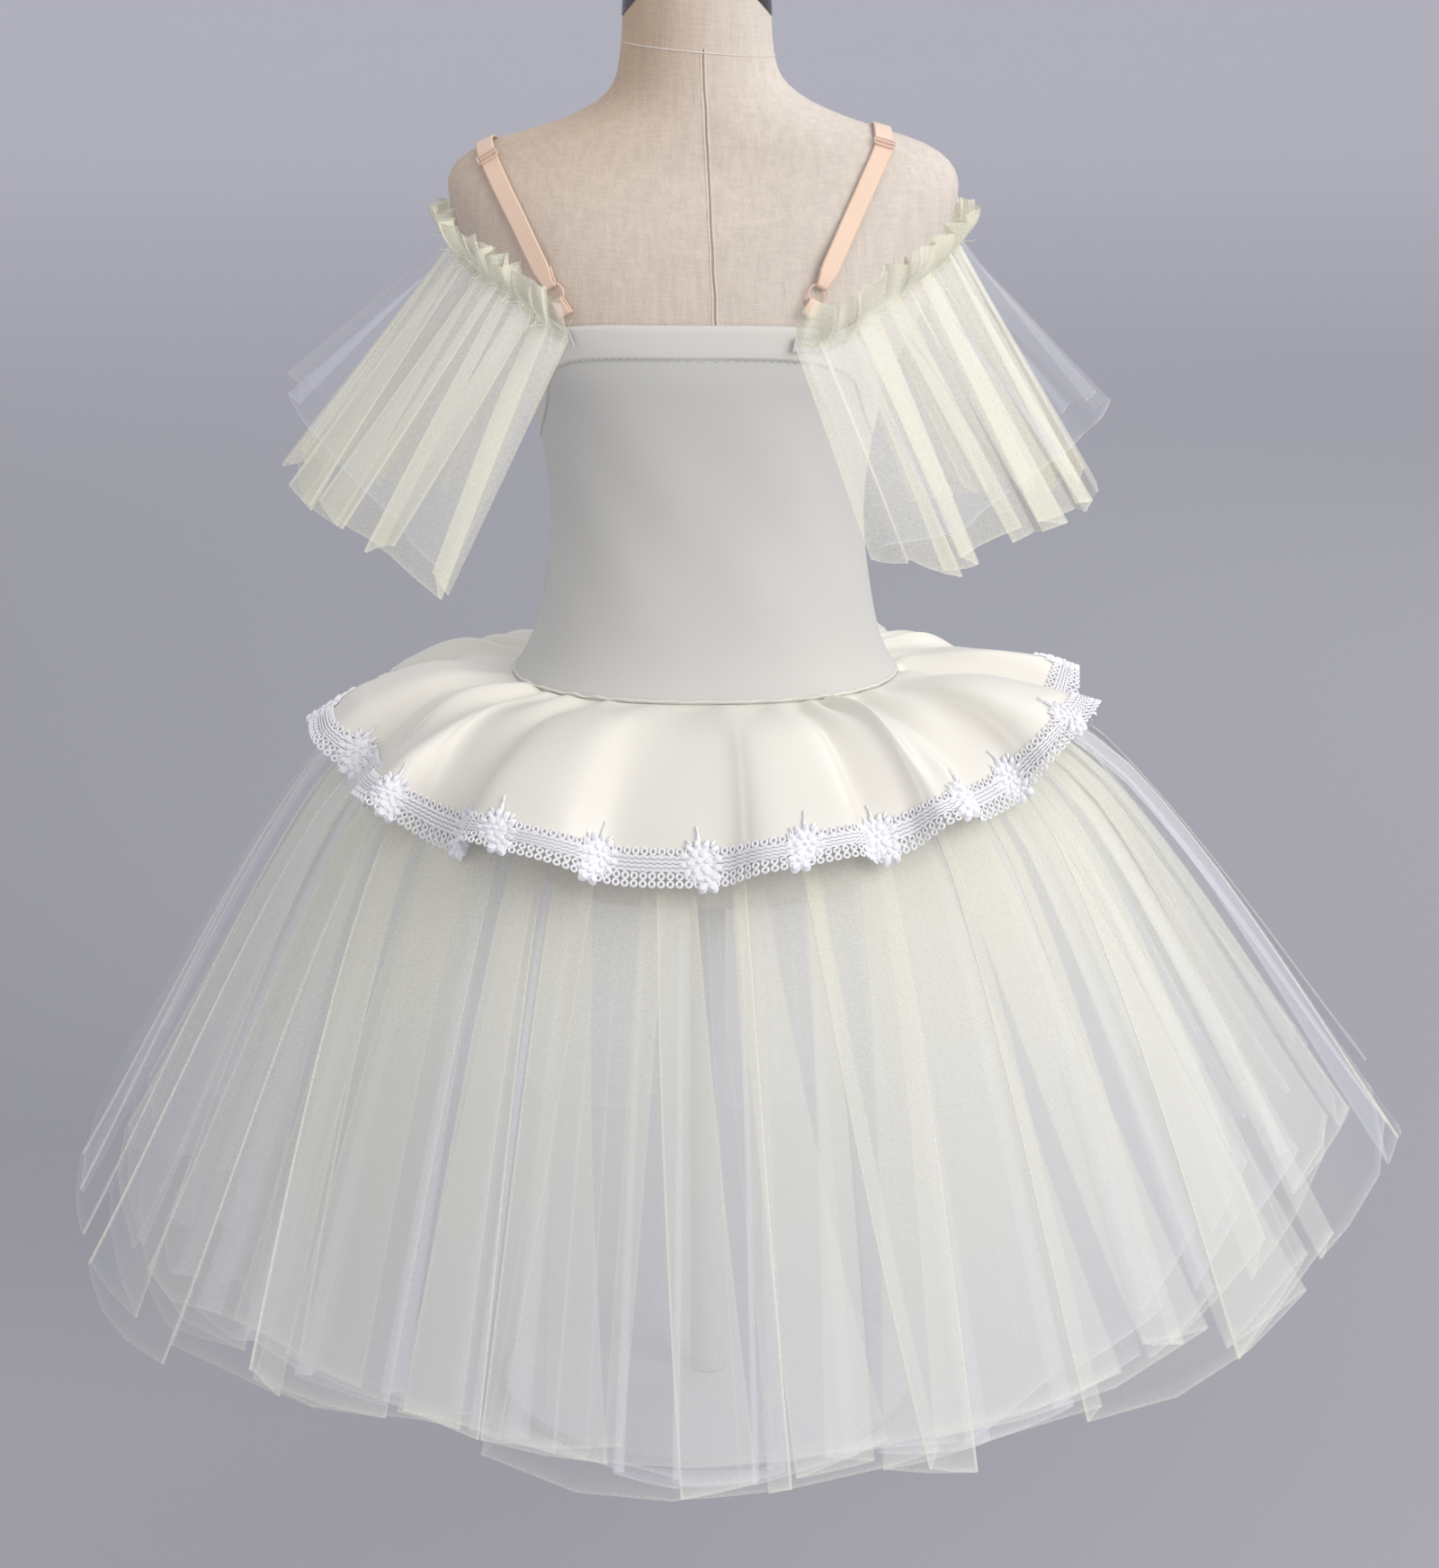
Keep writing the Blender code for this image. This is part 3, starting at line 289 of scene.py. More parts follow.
SEARCH_REACH = 0.2

# The form's trims, as heights above the waist seam
BACK_SEAM = (0.368, 0.180)
BACK_SEAM_ROWS = 90
NECK_JOIN = 0.366
CAP_HEIGHT = 0.0177
CAP_RIM = -0.014  # lowest at the sides of the neck
CAP_DOME = 0.75  # share of the cap's rows that make its dome

# Grids as columns and rows
TORSO_GRID = (120, 110)
CAP_GRID = (96, 24)
BODICE_GRID = (96, 64)
TOP_BAND_GRID = (240, 8)
PEPLUM_GRID = (760, 40)
BAND_STITCHES = 330
STITCH_RADIUS = 0.00018

# Lamps: place, size, power as a share of the key light's, and colour.
Lamp = namedtuple("Lamp", "name place size power colour")
LAMPS = [
    Lamp("key_light", (-2.3, 1.9, 2.0), 2.6, 1.00, (1.0, 0.985, 0.96)),
    Lamp("fill_light", (2.2, 2.0, 1.4), 1.8, 0.10, (1.0, 0.94, 0.86)),
    Lamp("front_light", (-1.5, -2.0, 2.4), 1.8, 0.26, (1.0, 1.0, 1.0)),
]
LAMP_TARGET = (0.0, 0.0, 0.5)
SKY = (0.93, 0.94, 1.0, 1.0)

# The paper that the form stands on: where it starts behind the camera, how far it runs, the radius of its bend,
# the height of its wall and its width, and the places between which it goes from floor to backdrop colour.
Sweep = namedtuple("Sweep", "near reach bend wall width grey_from grey_over")
SWEEP = Sweep(7.0, 14.0, 1.6, 3.2, 18.0, -0.5, 7.5)


# Smooth curves through tables


def smooth_rows(rows, x, period=None):
    """Values of the rows at every x, on smooth curves through them. The rows' first column is x."""
    table = np.array(rows, float)
    x = np.asarray(x, float)
    if period:
        x = (x - table[0, 0]) % period + table[0, 0]
        before, after, next_after = table[-1].copy(), table[0].copy(), table[1].copy()
        before[0] -= period
        after[0] += period
        next_after[0] += period
        table = np.vstack([before, table, after, next_after])
    xs = table[:, 0]
    last = len(xs) - 1
    i = np.clip(np.searchsorted(xs, x, side="right") - 1, 0, last - 1)
    low, high = np.maximum(i - 1, 0), np.minimum(i + 2, last)
    span = (xs[i + 1] - xs[i])[..., None]
    t = np.clip((x[..., None] - xs[i][..., None]) / span, 0, 1)
    p0, p1 = table[i, 1:], table[i + 1, 1:]
    m0 = (p1 - table[low, 1:]) / (xs[i + 1] - xs[low])[..., None] * span
    m1 = (table[high, 1:] - p0) / (xs[high] - xs[i])[..., None] * span
    made = (2 * t**3 - 3 * t**2 + 1) * p0 + (t**3 - 2 * t**2 + t) * m0
    made = made + (3 * t**2 - 2 * t**3) * p1 + (t**3 - t**2) * m1
    return [made[..., c] for c in range(made.shape[-1])]


def run_rows(rows, share):
    """Smooth reach and drop shares along a run, carried straight on past the last row."""
    reach, drop = smooth_rows(rows, np.minimum(share, 1.0))
    a, b = rows[-2], rows[-1]
    past = np.maximum(share - 1.0, 0.0) / (b.share - a.share)
    return reach + (b.reach - a.reach) * past, drop + (b.drop - a.drop) * past


def wander(seed, size, lowest, highest):
    """A smooth random function of a turn, 0 to 1, that comes back to its start."""
    draw = random.Random(seed)
    waves = [(k, draw.uniform(0.4, 1.0), draw.random()) for k in range(lowest, highest + 1)]
    scale = size / sum(amount for _, amount, _ in waves)
    return lambda s: scale * sum(a * np.sin(2 * math.pi * (k * s + p)) for k, a, p in waves)


def drifts(table, seed=0, **scales):
    """The random functions of a table, with a piece's seed and with some of their sizes scaled."""
    return {
        name: wander(seed + row.seed, row.size * scales.get(name, 1.0), row.lowest, row.highest)
        for name, row in table.items()
    }


def unit(v):
    return v / np.maximum(np.linalg.norm(v, axis=-1, keepdims=True), 1e-12)


def stacked(x, y, z):
    return np.stack(np.broadcast_arrays(x, y, z), axis=-1).astype(float)


def smooth_step(x):
    x = np.clip(x, 0.0, 1.0)
    return x * x * (3 - 2 * x)


def level_unit(v):
    return unit(v * np.array([1.0, 1.0, 0.0]))


def last_before(low, high, test):
    """Where between two places a test stops holding, as the last place that passed and the last one tried."""
    for _ in range(SEARCH_STEPS):
        middle = (low + high) / 2
        if test(middle):
            low = middle
        else:
            high = middle
    return low, middle


# The dress form


def form_point(height, bearing):
    """Points of the form's surface. Bearing is in radians."""
    height, bearing = np.broadcast_arrays(np.asarray(height, float), np.asarray(bearing, float))
    centre, half_width, back, front, squareness = smooth_rows(FORM_SECTIONS, height)
    c, s = np.cos(bearing), np.sin(bearing)
    x = half_width * np.sign(c) * np.abs(c) ** (2 / squareness)
    y = np.where(s > 0, back, front) * np.sign(s) * np.abs(s) ** (2 / squareness)
    return stacked(centre + x, y, SEAM_HEIGHT + height)


def form_normal(height, bearing):
    step, rise = 0.02, 0.002
    along = form_point(height, bearing + step) - form_point(height, bearing - step)
    up = form_point(height + rise, bearing) - form_point(height - rise, bearing)
    return unit(np.cross(along, up))


def fullness(point):
    """Under 1 inside the form, 1 on its surface and over 1 outside."""
    height = min(point[2] - SEAM_HEIGHT, FORM_SECTIONS[-1].height)
    centre, half_width, back, front, squareness = smooth_rows(FORM_SECTIONS, height)
    depth = back if point[1] > 0 else front
    return (abs(point[0] - centre) / half_width) ** squareness + (abs(point[1]) / depth) ** squareness


def outward(point):
    """Outward normal of the form at a point near its surface."""
    step = 0.0005
    axes = np.eye(3) * step
    return unit(np.array([fullness(point + axis) - fullness(point - axis) for axis in axes]))


def bodice_point(height, bearing, out=0.0):
    """Points of the bodice's outer face, moved out by a distance."""
    push = SKIRT_BULK * np.exp(-np.maximum(height, 0.0) / BULK_FADE)
    offset = FORM_CLEARANCE + CLOTH + push + out
    return form_point(height, bearing) + level_unit(form_normal(height, bearing)) * offset[..., None]


def bodice_top(bearing):
    """Height of the bodice's top edge at bearings in degrees."""
    return smooth_rows(BODICE_TOP, bearing, period=360.0)[0]


def yoke_point(depth, bearing):
    """Points of the yoke under the waist seam, which the plies hang from."""
    offset = FORM_CLEARANCE + CLOTH + SKIRT_BULK * max(1 - depth / YOKE_DEPTH, 0.0)
    return form_point(-depth, bearing) + level_unit(form_normal(-depth, bearing)) * offset


# Folds


def folded(base, folds, s, share, growth):
    """Points of a folded sheet, its outward direction and its width for one fold."""
    step = 0.002
    u = s + folds.spacing(s)
    here = base(u, share)
    ahead = base(s + step + folds.spacing(s + step), share)
    behind = base(s - step + folds.spacing(s - step), share)
    along = unit(ahead - behind)
    pitch = np.linalg.norm(ahead - behind, axis=-1) / (2 * step * folds.count)
    down = unit(base(u, share + step) - base(u, np.maximum(share - step, 0.0)))
    out = unit(np.cross(down, along))
    phase = 2 * math.pi * folds.count * s
    wave = np.sin(phase)
    soft = wave * (1.5 - 0.5 * wave * wave)
    pressed = np.tanh(3.2 * wave) / math.tanh(3.2)
    flat = soft + (pressed - soft) * folds.press
    stand = folds.depth * growth * (1 + folds.depths(s)) * (flat + folds.level)
    tuck = folds.tuck * pitch * np.minimum(growth / TUCK_START, 1.0) * np.sin(2 * phase)
    points = here + out * stand[..., None] + along * (folds.lean(s) * stand - tuck)[..., None]
    return points, out, pitch


def edge_base(root, edge, run, reach_scale=1.0, drop_scale=1.0, root_drop=0.0, hem=None):
    """The smooth surface under a skirt's folds, from its root at the seam out to its edge."""

    def base(u, share):
        bearing = 360.0 * u
        angle = np.radians(bearing)
        reach, drop = smooth_rows(edge, bearing, period=360.0)
        cut = share * (1 + hem(u)) if hem else share + 0 * u
        reach_share, drop_share = run_rows(run, cut)
        start = root(angle)
        end = stacked(reach * reach_scale * np.cos(angle), reach * reach_scale * np.sin(angle), 0 * angle)
        level = start + (end - start) * reach_share[..., None]
        z = SEAM_HEIGHT - root_drop - (drop * drop_scale - root_drop) * drop_share
        return stacked(level[..., 0], level[..., 1], z)

    return base


# An edge of a panel: its place in folds at the root and at the hem, its step, its depth and how crisp it is.
Crossing = namedtuple("Crossing", "root hem step depth crisp")


def crossings(pleats, ring):
    """The edges of the panels, two for each, with the outer panels and the inner ones in turn."""
    draw = random.Random(pleats.seed)
    edges = []
    for k in range(pleats.count):
        swap = draw.random() < 0.4
        for middle, side in ((0.25, 1), (0.75, -1)):
            grown = draw.uniform(0.7, 1.3)
            half = 0.25 + pleats.overlap * draw.uniform(0.05, 0.95)
            depths = [side * grown * z for z in (0.35, 1.1)]
            if swap:
                depths.reverse()
            for end, depth in zip((-half, half), depths):
                root = k + middle + end + draw.uniform(-1, 1) * pleats.scatter
                hem = k + middle + end + draw.uniform(-1, 1) * pleats.slant
                crisp = draw.choice((0.25, 0.45, 0.8, 1.0)) if side > 0 else draw.uniform(0.1, 0.35)
                step = draw.uniform(-1, 1) * pleats.step
                edges.append(Crossing(root, hem, step, depth, crisp * pleats.line))
    if ring:
        first = edges[0]
        edges.append(first._replace(root=first.root + pleats.count, hem=first.hem + pleats.count))
    else:
        edges = edges[: 4 * pleats.count - 2]
    for n in range(1, len(edges) - 1, 2):
        right, left = edges[n], edges[n + 1]
        if n % 4 == 1:
            left = left._replace(root=min(left.root, right.root - 0.08), hem=min(left.hem, right.hem - 0.08))
        else:
            right = right._replace(root=max(right.root, left.root + 0.08), hem=max(right.hem, left.hem + 0.08))
        edges[n : n + 2] = right, left
    return edges, draw


# A column of a pleated strip: the edges it lies between and its share of the way, its shift along and out in
# edge radii, how far it bulges, how much it is a crease and how dense its panel is.
Column = namedtuple("Column", "start end share along out bulge line tone")
ROUNDED = [(math.cos(a), math.sin(a)) for a in np.radians((45, 0, -45))]


def pleat_columns(pleats, edges, draw):
    """The columns of a pleated strip: a panel, a rounded edge, the part that runs back under it, and so on."""
    columns = []
    last = len(edges) - 1
    for n in range(last):
        begin, finish = edges[n].crisp, edges[n + 1].crisp
        if n % 2 == 0:
            tone = 1 + pleats.patchy * draw.uniform(-1.0, 1.0)
            at = draw.uniform(0.25, 0.75)
            minor = pleats.minor * max(draw.uniform(-1.0, 1.0), 0.0)
            bulge = draw.uniform(-0.2, 0.45)
            row = [
                (0.0, 0.0, 0.4 * begin), (0.0, 0.9, 0.0), (at / 2, 0.0, 0.0), (at, -0.6, 0.0), (at, 0.0, minor)
            ]
            row += [(at, 0.6, 0.0), ((1 + at) / 2, 0.0, 0.0), (1.0, -0.9, 0.0), (1.0, 0.0, 0.4 * finish)]
            columns += [Column(n, n + 1, share, along, 0.0, bulge, line, tone) for share, along, line in row]
        else:
            drop = -2.0 if n % 4 == 1 else 2.0
            row = ((0.0, -0.9), (0.5, 0.0), (1.0, 0.9))
            columns += [Column(n, n + 1, w, along, drop * (1 - 2 * w), 0.0, 0.0, 1.0) for w, along in row]
        if n + 1 < last or len(edges) % 2:
            side = 1 if n % 2 == 0 else -1
            over = 1 if n % 4 in (1, 2) else -1
            for c, s in ROUNDED:
                columns.append(Column(n + 1, n + 1, 0.0, side * c, over * (1 - side * s), 0.0, finish, 1.0))
    return columns


def pleated(base, pleats, shares, growths, ring=True, spacing=None):
    """Points of a pleated strip with its outward directions, its creases, its density and its turns."""
    edges, draw = crossings(pleats, ring)
    columns = pleat_columns(pleats, edges, draw)
    start, end, way, along, out, bulge, line, tone = np.array(columns).T
    start, end = start.astype(int), end.astype(int)
    edge = np.array(edges)
    if not ring:
        edge[0, 1], edge[-1, 1] = edge[0, 0], edge[-1, 0]
    first = 0.0 if ring else edge[0, 0]
    total = pleats.count if ring else edge[-1, 0] - first
    t = shares[:, None]

    def between(column):
        return edge[start, column] * (1 - way) + edge[end, column] * way

    u = (between(0) + (between(1) - between(0)) * t - first) / total
    if spacing:
        u = u + spacing(u)
    step = 0.001
    width = np.linalg.norm(base(u + step, t + 0 * u) - base(u - step, t + 0 * u), axis=-1) / (2 * step)
    radius = pleats.radius * (0.3 + 0.7 * growths)
    u = u + along * radius / np.mean(width, axis=1, keepdims=True)
    share = t * (1 + between(2) * t)
    stand = pleats.depth * growths * (between(3) + bulge * np.sin(math.pi * way)) + out * radius
    ahead = unit(base(u + step, share) - base(u - step, share))
    down = unit(base(u, share + step) - base(u, np.maximum(share - step, 0.0)))
    away = unit(np.cross(down, ahead))
    made = [base(u, share) + away * stand[..., None], away, line + 0 * u, tone + 0 * u, u]
    if ring:
        made = [np.concatenate([a, a[:, :1]], axis=1) for a in made]
        made[-1][:, -1] += 1
    return made


def waved(base, folds, shares, growths):
    """What pleated gives, for a strip in soft waves."""
    s = np.linspace(0, 1, folds.count * WAVE_COLUMNS + 1)[None, :]
    points, out, _ = folded(base, folds, s, shares[:, None] + 0 * s, growths)
    turning = 0.5 + 0.5 * np.cos(4 * math.pi * folds.count * s)
    creases = 0.35 * turning**6 + 0 * shares[:, None]
    u = s + folds.spacing(s) + 0 * shares[:, None]
    return points, out, creases, np.ones_like(u), u


def gathered(t, gathers):
    """How strong gathers are at shares of the way down from their seam."""
    return np.clip(t / gathers.full, 0, 1) * np.exp(-t / gathers.fade)


def shaded(tones, shading, streaks, t):
    """The densities of a net's panels with its streaks, which fade on their way down."""
    streaked = 1 + shading.streaks * streaks * np.exp(-t / shading.fade)
    return tones * streaked * (shading.top - shading.loss * t)


# Making pieces


def look():
    return bpy.context.scene.tutu_look


def add_object(name, data):
    made = bpy.data.objects.new(name, data)
    bpy.context.scene.collection.objects.link(made)
    return made


def grid_sheet(columns, rows):
    """A flat grid as a bmesh, with the column and row number of each of its points, from its top left."""
    body = bmesh.new()
    bmesh.ops.create_grid(body, x_segments=columns, y_segments=rows, size=0.5)
    places = [(round((v.co.x + 0.5) * columns), round((0.5 - v.co.y) * rows)) for v in body.verts]
    uv = body.loops.layers.uv.new("UVMap")
    for face in body.faces:
        for loop in face.loops:
            loop[uv].uv = (loop.vert.co.x + 0.5, loop.vert.co.y + 0.5)
    return body, places


def shape_sheet(body, places, points, **values):
    """Moves the grid's points to points[row, column], and gives them named values in the same order."""
    layers = {name: body.verts.layers.float.new(name) for name in values}
    for v, (column, row) in zip(body.verts, places):
        v.co = points[row, column]
        for name, layer in layers.items():
            v[layer] = values[name][row, column]


def close_ring(body):
    """Joins the two ends of a sheet that goes all the way round."""
    bmesh.ops.remove_doubles(body, verts=body.verts, dist=SAME_PLACE)


def close_holes(body):
    bmesh.ops.holes_fill(body, edges=[e for e in body.edges if e.is_boundary], sides=0)


def add_piece(body, name, finish, nodes=(), sharp=50):
    """Turns a bmesh into a piece that rides on the dress and may stand for CAD nodes."""
    mesh = bpy.data.meshes.new(name)
    body.to_mesh(mesh)
    body.free()
    return add_mesh(mesh, name, finish, nodes, sharp)


def add_mesh(mesh, name, finish, nodes=(), sharp=50):
    """The same for a mesh. Its edges are sharp from an angle in degrees."""
    mesh.materials.clear()
    mesh.materials.append(finish)
    mesh.shade_smooth()
    mesh.set_sharp_from_angle(angle=math.radians(sharp))
    made = add_object(name, mesh)
    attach(made, "root")
    if nodes:
        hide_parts(*nodes)
    return made


def thicken(piece, wall, offset=-1.0):
    thick = piece.modifiers.new("Wall", "SOLIDIFY")
    thick.thickness = wall
    thick.offset = offset


def cords_mesh(name, lines, radius, closed=False):
    """One mesh of thin cords along lines of points."""
    curve = bpy.data.curves.new(name, "CURVE")
    curve.dimensions = "3D"
    curve.bevel_depth = radius
    curve.bevel_resolution = 0
    curve.use_fill_caps = True
    for line in lines:
        spline = curve.splines.new("POLY")
        spline.points.add(len(line) - 1)
        flat = np.column_stack([line, np.ones(len(line))])
        spline.points.foreach_set("co", flat.ravel())
        spline.use_cyclic_u = closed
    guide = add_object(name, curve)
    bpy.context.view_layer.update()
    graph = bpy.context.evaluated_depsgraph_get()
    mesh = bpy.data.meshes.new_from_object(guide.evaluated_get(graph))
    bpy.data.objects.remove(guide, do_unlink=True)
    bpy.data.curves.remove(curve)
    return mesh


def add_cords(name, lines, radius, finish, closed=False, sharp=50):
    """A piece of thin cords, which stands for no node."""
    add_mesh(cords_mesh(name, lines, radius, closed), name, finish, sharp=sharp)


def add_net(name, node, finish, cream, points, closed=False, **values):
    """A sheet of net, which casts no shadow and which bounced light skips, as real net lets nearly all by."""
    body, places = grid_sheet(points.shape[1] - 1, points.shape[0] - 1)
    shape_sheet(body, places, points, **values)
    if closed:
        close_ring(body)
    piece = add_piece(body, name, bpy.data.materials[finish], [node], sharp=180)
    piece.visible_shadow = piece.visible_diffuse = False
    return piece


def finish_node(name, finish):
    """Gives a finish to a node that shows as it is."""
    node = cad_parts[name]
    node.data.materials.clear()
    node.data.materials.append(bpy.data.materials[finish])


# Finishes


class Finish:
    """A material on the plain shader, and what can be added to it."""

    def __init__(self, name, colour, roughness, sheen=0.0):
        self.made = bpy.data.materials.new(name)
        self.made.use_nodes = True
        self.shader = self.made.node_tree.nodes["Principled BSDF"]
        self.set(self.shader, {"Base Color": colour, "Roughness": roughness, "Sheen Weight": sheen})

    def set(self, node, inputs):
        """Gives a node's inputs a number, vector or colour, or links them to another node's output."""
        for name, value in inputs.items():
            socket = node.inputs[name]
            if isinstance(value, bpy.types.NodeSocket):
                self.made.node_tree.links.new(value, socket)
            else:
                socket.default_value = (*value, 1.0) if socket.type == "RGBA" else value

    def add(self, kind, inputs, output, **settings):
        """Adds a node and returns one of its outputs."""
        node = self.made.node_tree.nodes.new(f"ShaderNode{kind}")
        for name, value in settings.items():
            setattr(node, name, value)
        self.set(node, inputs)
        return node.outputs[output]

    def noise(self, scale, detail=1.0, stretch=(1.0, 1.0, 1.0)):
        """Noise that stays with the object."""
        place = self.add("TexCoord", {}, "Object")
        mapped = self.add("Mapping", {"Vector": place, "Scale": stretch}, "Vector")
        return self.add("TexNoise", {"Vector": mapped, "Scale": scale, "Detail": detail}, "Fac")

    def value(self, name):
        """A value that the mesh carries."""
        return self.add("Attribute", {}, "Fac", attribute_name=name)

    def math(self, operation, *values):
        return self.add("Math", dict(enumerate(values)), "Value", operation=operation)

    def mix(self, factor, low, high):
        """A colour that goes from low to high with a factor."""
        return self.add("Mix", {"Factor": factor, "A": low, "B": high}, "Result", data_type="RGBA")

    def bump(self, height, strength, distance):
        raised = {"Height": height, "Strength": strength, "Distance": distance}
        self.set(self.shader, {"Normal": self.add("Bump", raised, "Normal")})


LINEN_TONES = (0.84, 1.08)  # brightness of the cover's darkest and lightest threads


def linen_finish():
    finish = Finish("linen_cover", look().linen, 0.9, 0.1)
    warp = finish.noise(700.0, stretch=(1.0, 1.0, 0.15))
    weft = finish.noise(700.0, stretch=(0.15, 0.15, 1.0))
    slub = finish.noise(260.0, 0.0, (1.0, 1.0, 0.1))
    weave = finish.math("ADD", warp, weft)
    grain = finish.math("MULTIPLY_ADD", finish.math("ADD", weave, slub), 0.6, -0.55)
    blotch = finish.math("MULTIPLY", finish.noise(12.0, 2.0), 0.3)
    # The painted warm shade on the cover's side away from the key light.
    tan = finish.value("tan")
    tones = []
    for strength in LINEN_TONES:
        ends = ([c * strength for c in colour] for colour in (look().linen, look().tan))
        tones.append(finish.mix(tan, *ends))
    colour = finish.mix(finish.math("ADD", grain, blotch), *tones)
    finish.set(finish.shader, {"Base Color": colour})
    finish.bump(weave, 0.4, 0.0006)
    return finish.made


def cloth_finish(name, colour, roughness, sheen, grain, strength, distance, stretch=(1.0, 1.0, 1.0)):
    """A finish with a fine grain."""
    finish = Finish(name, colour, roughness, sheen)
    finish.bump(finish.noise(grain, stretch=stretch), strength, distance)
    return finish


def net_finish(name, colour, highlight_colour, pale_colour):
    """See-through net. The sheet's own values say how much it covers, where it is pale, and where a painted
    highlight lightens its colour along creases and cut edges.
    """
    finish = Finish(name, colour, 0.85)
    speckle = finish.math("MULTIPLY_ADD", finish.noise(620.0), 0.9, 0.55)
    plain = finish.mix(finish.value("pale"), colour, pale_colour)
    inputs = {
        "Specular IOR Level": 0.15,
        "Alpha": finish.math("MULTIPLY", finish.value("cover"), speckle),
        # Painted highlight: a lighter colour mixed in along creases and cut edges, and on the cream net by its
        # seam.
        "Base Color": finish.mix(finish.value("fold_line"), plain, highlight_colour),
    }
    finish.set(finish.shader, inputs)


def elastic_finish():
    """Elastic with fine ribs along it."""
    finish = Finish("strap_elastic", look().elastic, 0.5, 0.15)
    place = finish.add("TexCoord", {}, "UV")
    ribs = finish.add("TexWave", {"Vector": place, "Scale": 1.9}, "Fac", bands_direction="X")
    finish.bump(ribs, 0.25, 0.0003)


def coated_finish(name, colour, roughness, coat):
    finish = Finish(name, colour, roughness)
    finish.set(finish.shader, {"Coat Weight": coat})
    return finish.made


# The form and its stand


def build_torso():
    """The form's linen cover, with a painted warm shade on its side away from the key light, strongest towards
    the neck.
    """
    columns, rows = TORSO_GRID
    body, places = grid_sheet(columns, rows)
    low, high = FORM_SECTIONS[0].height, FORM_SECTIONS[-1].height
    heights = np.linspace(high, low, rows + 1)[:, None]
    bearings = np.linspace(0, 2 * math.pi, columns + 1)[None, :]
    points = form_point(heights, bearings)
    # Painted shade: a warm tan on the +X side, away from the key light, growing towards the neck.
    shaded_side = smooth_step(points[..., 0] / smooth_rows(FORM_SECTIONS, heights)[1] * 0.5 + 0.42)
    tan = shaded_side * (0.45 + 0.55 * smooth_step((heights - 0.25) / 0.12))
    shape_sheet(body, places, points, tan=tan)
    close_ring(body)
    close_holes(body)
    add_piece(body, "form_linen", linen_finish(), ["form_torso"])


def build_back_seam():
    """The seam down the middle of the form's back cover: a dark fold between two low ridges."""
    heights = np.linspace(*BACK_SEAM, BACK_SEAM_ROWS)
    across = np.interp(heights, [0.2, 0.36], [-0.0062, 0.0018])
    wobble = wander(*FORM_SEAM_DRIFT)(np.linspace(0, 1, BACK_SEAM_ROWS))

    def on_back(shift, sink):
        points = []
        for height, x in zip(heights, across + wobble + shift):
            z = SEAM_HEIGHT + height
            y = last_before(0.0, SEARCH_REACH, lambda y: fullness(np.array([x, y, z])) < 1)[1]
            point = np.array([x, y, z])
            points.append(point - outward(point) * sink)
        return np.array(points)

    linen = bpy.data.materials["linen_cover"]
    ridges = [on_back(shift, 0.0006) for shift in (-0.0012, 0.0012)]
    add_cords("form_back_ridges", ridges, 0.0010, linen, sharp=60)
    seam = Finish("seam_thread", look().seam, 0.9)
    add_cords("form_back_seam", [on_back(0.0, 0.00015)], 0.00045, seam.made)
    turns = np.linspace(0, 2 * math.pi, 96, endpoint=False)
    join = form_point(NECK_JOIN + 0.004 * np.cos(turns), turns)
    add_cords("form_neck_join", [join], 0.0006, linen, closed=True)


def build_cap():
    """The neck's domed cap, whose rim comes down further at the sides."""
    top = FORM_SECTIONS[-1]
    columns, rows = CAP_GRID
    body, places = grid_sheet(columns, rows)
    bearings = np.linspace(0, 2 * math.pi, columns + 1)[None, :]
    rim = np.minimum(CAP_RIM + 0.030 * np.sin(bearings) ** 2, 0.0)
    t = np.linspace(0.02, 1.0, rows + 1)[:, None]
    dome = np.minimum(t / CAP_DOME, 1.0)
    spread = np.sin(dome * math.pi / 2)
    skirt = np.clip((t - CAP_DOME) / (1 - CAP_DOME), 0, 1)
    height = top.height + SEAM_GAP + CAP_HEIGHT * np.cos(dome * math.pi / 2) * (1 - skirt) + rim * skirt
    neck = form_point(np.minimum(height, top.height), bearings)
    width = (neck[..., 0] - top.centre) * spread
    points = stacked(top.centre + width, neck[..., 1] * spread, SEAM_HEIGHT + height)
    points = points + level_unit(points - np.array([top.centre, 0, 0])) * 0.0005
    shape_sheet(body, places, points)
    close_ring(body)
    close_holes(body)
    add_piece(body, "neck_cap_dome", coated_finish("black_cap", look().cap, 0.3, 0.3), ["neck_cap"])


def build_stand():
    finish = Finish("stand_paint", look().stand, 0.5).made
    for name, node in (("stand_base", "base_plate"), ("stand_pole", "pole")):
        low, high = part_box(node)
        radius = (high[0] - low[0]) / 2
        body = bmesh.new()
        bmesh.ops.create_cone(
            body, cap_ends=True, segments=96, radius1=radius, radius2=radius, depth=high[2] - low[2]
        )
        bmesh.ops.translate(body, verts=body.verts, vec=(0, 0, (low[2] + high[2]) / 2))
        rims = [e for e in body.edges if abs(e.verts[0].co.z - e.verts[1].co.z) < SAME_PLACE]
        bmesh.ops.bevel(
            body, geom=rims, offset=0.0012, affect="EDGES", segments=3, profile=0.5, material=-1
        )
        add_piece(body, name, finish, [node])


# The bodice


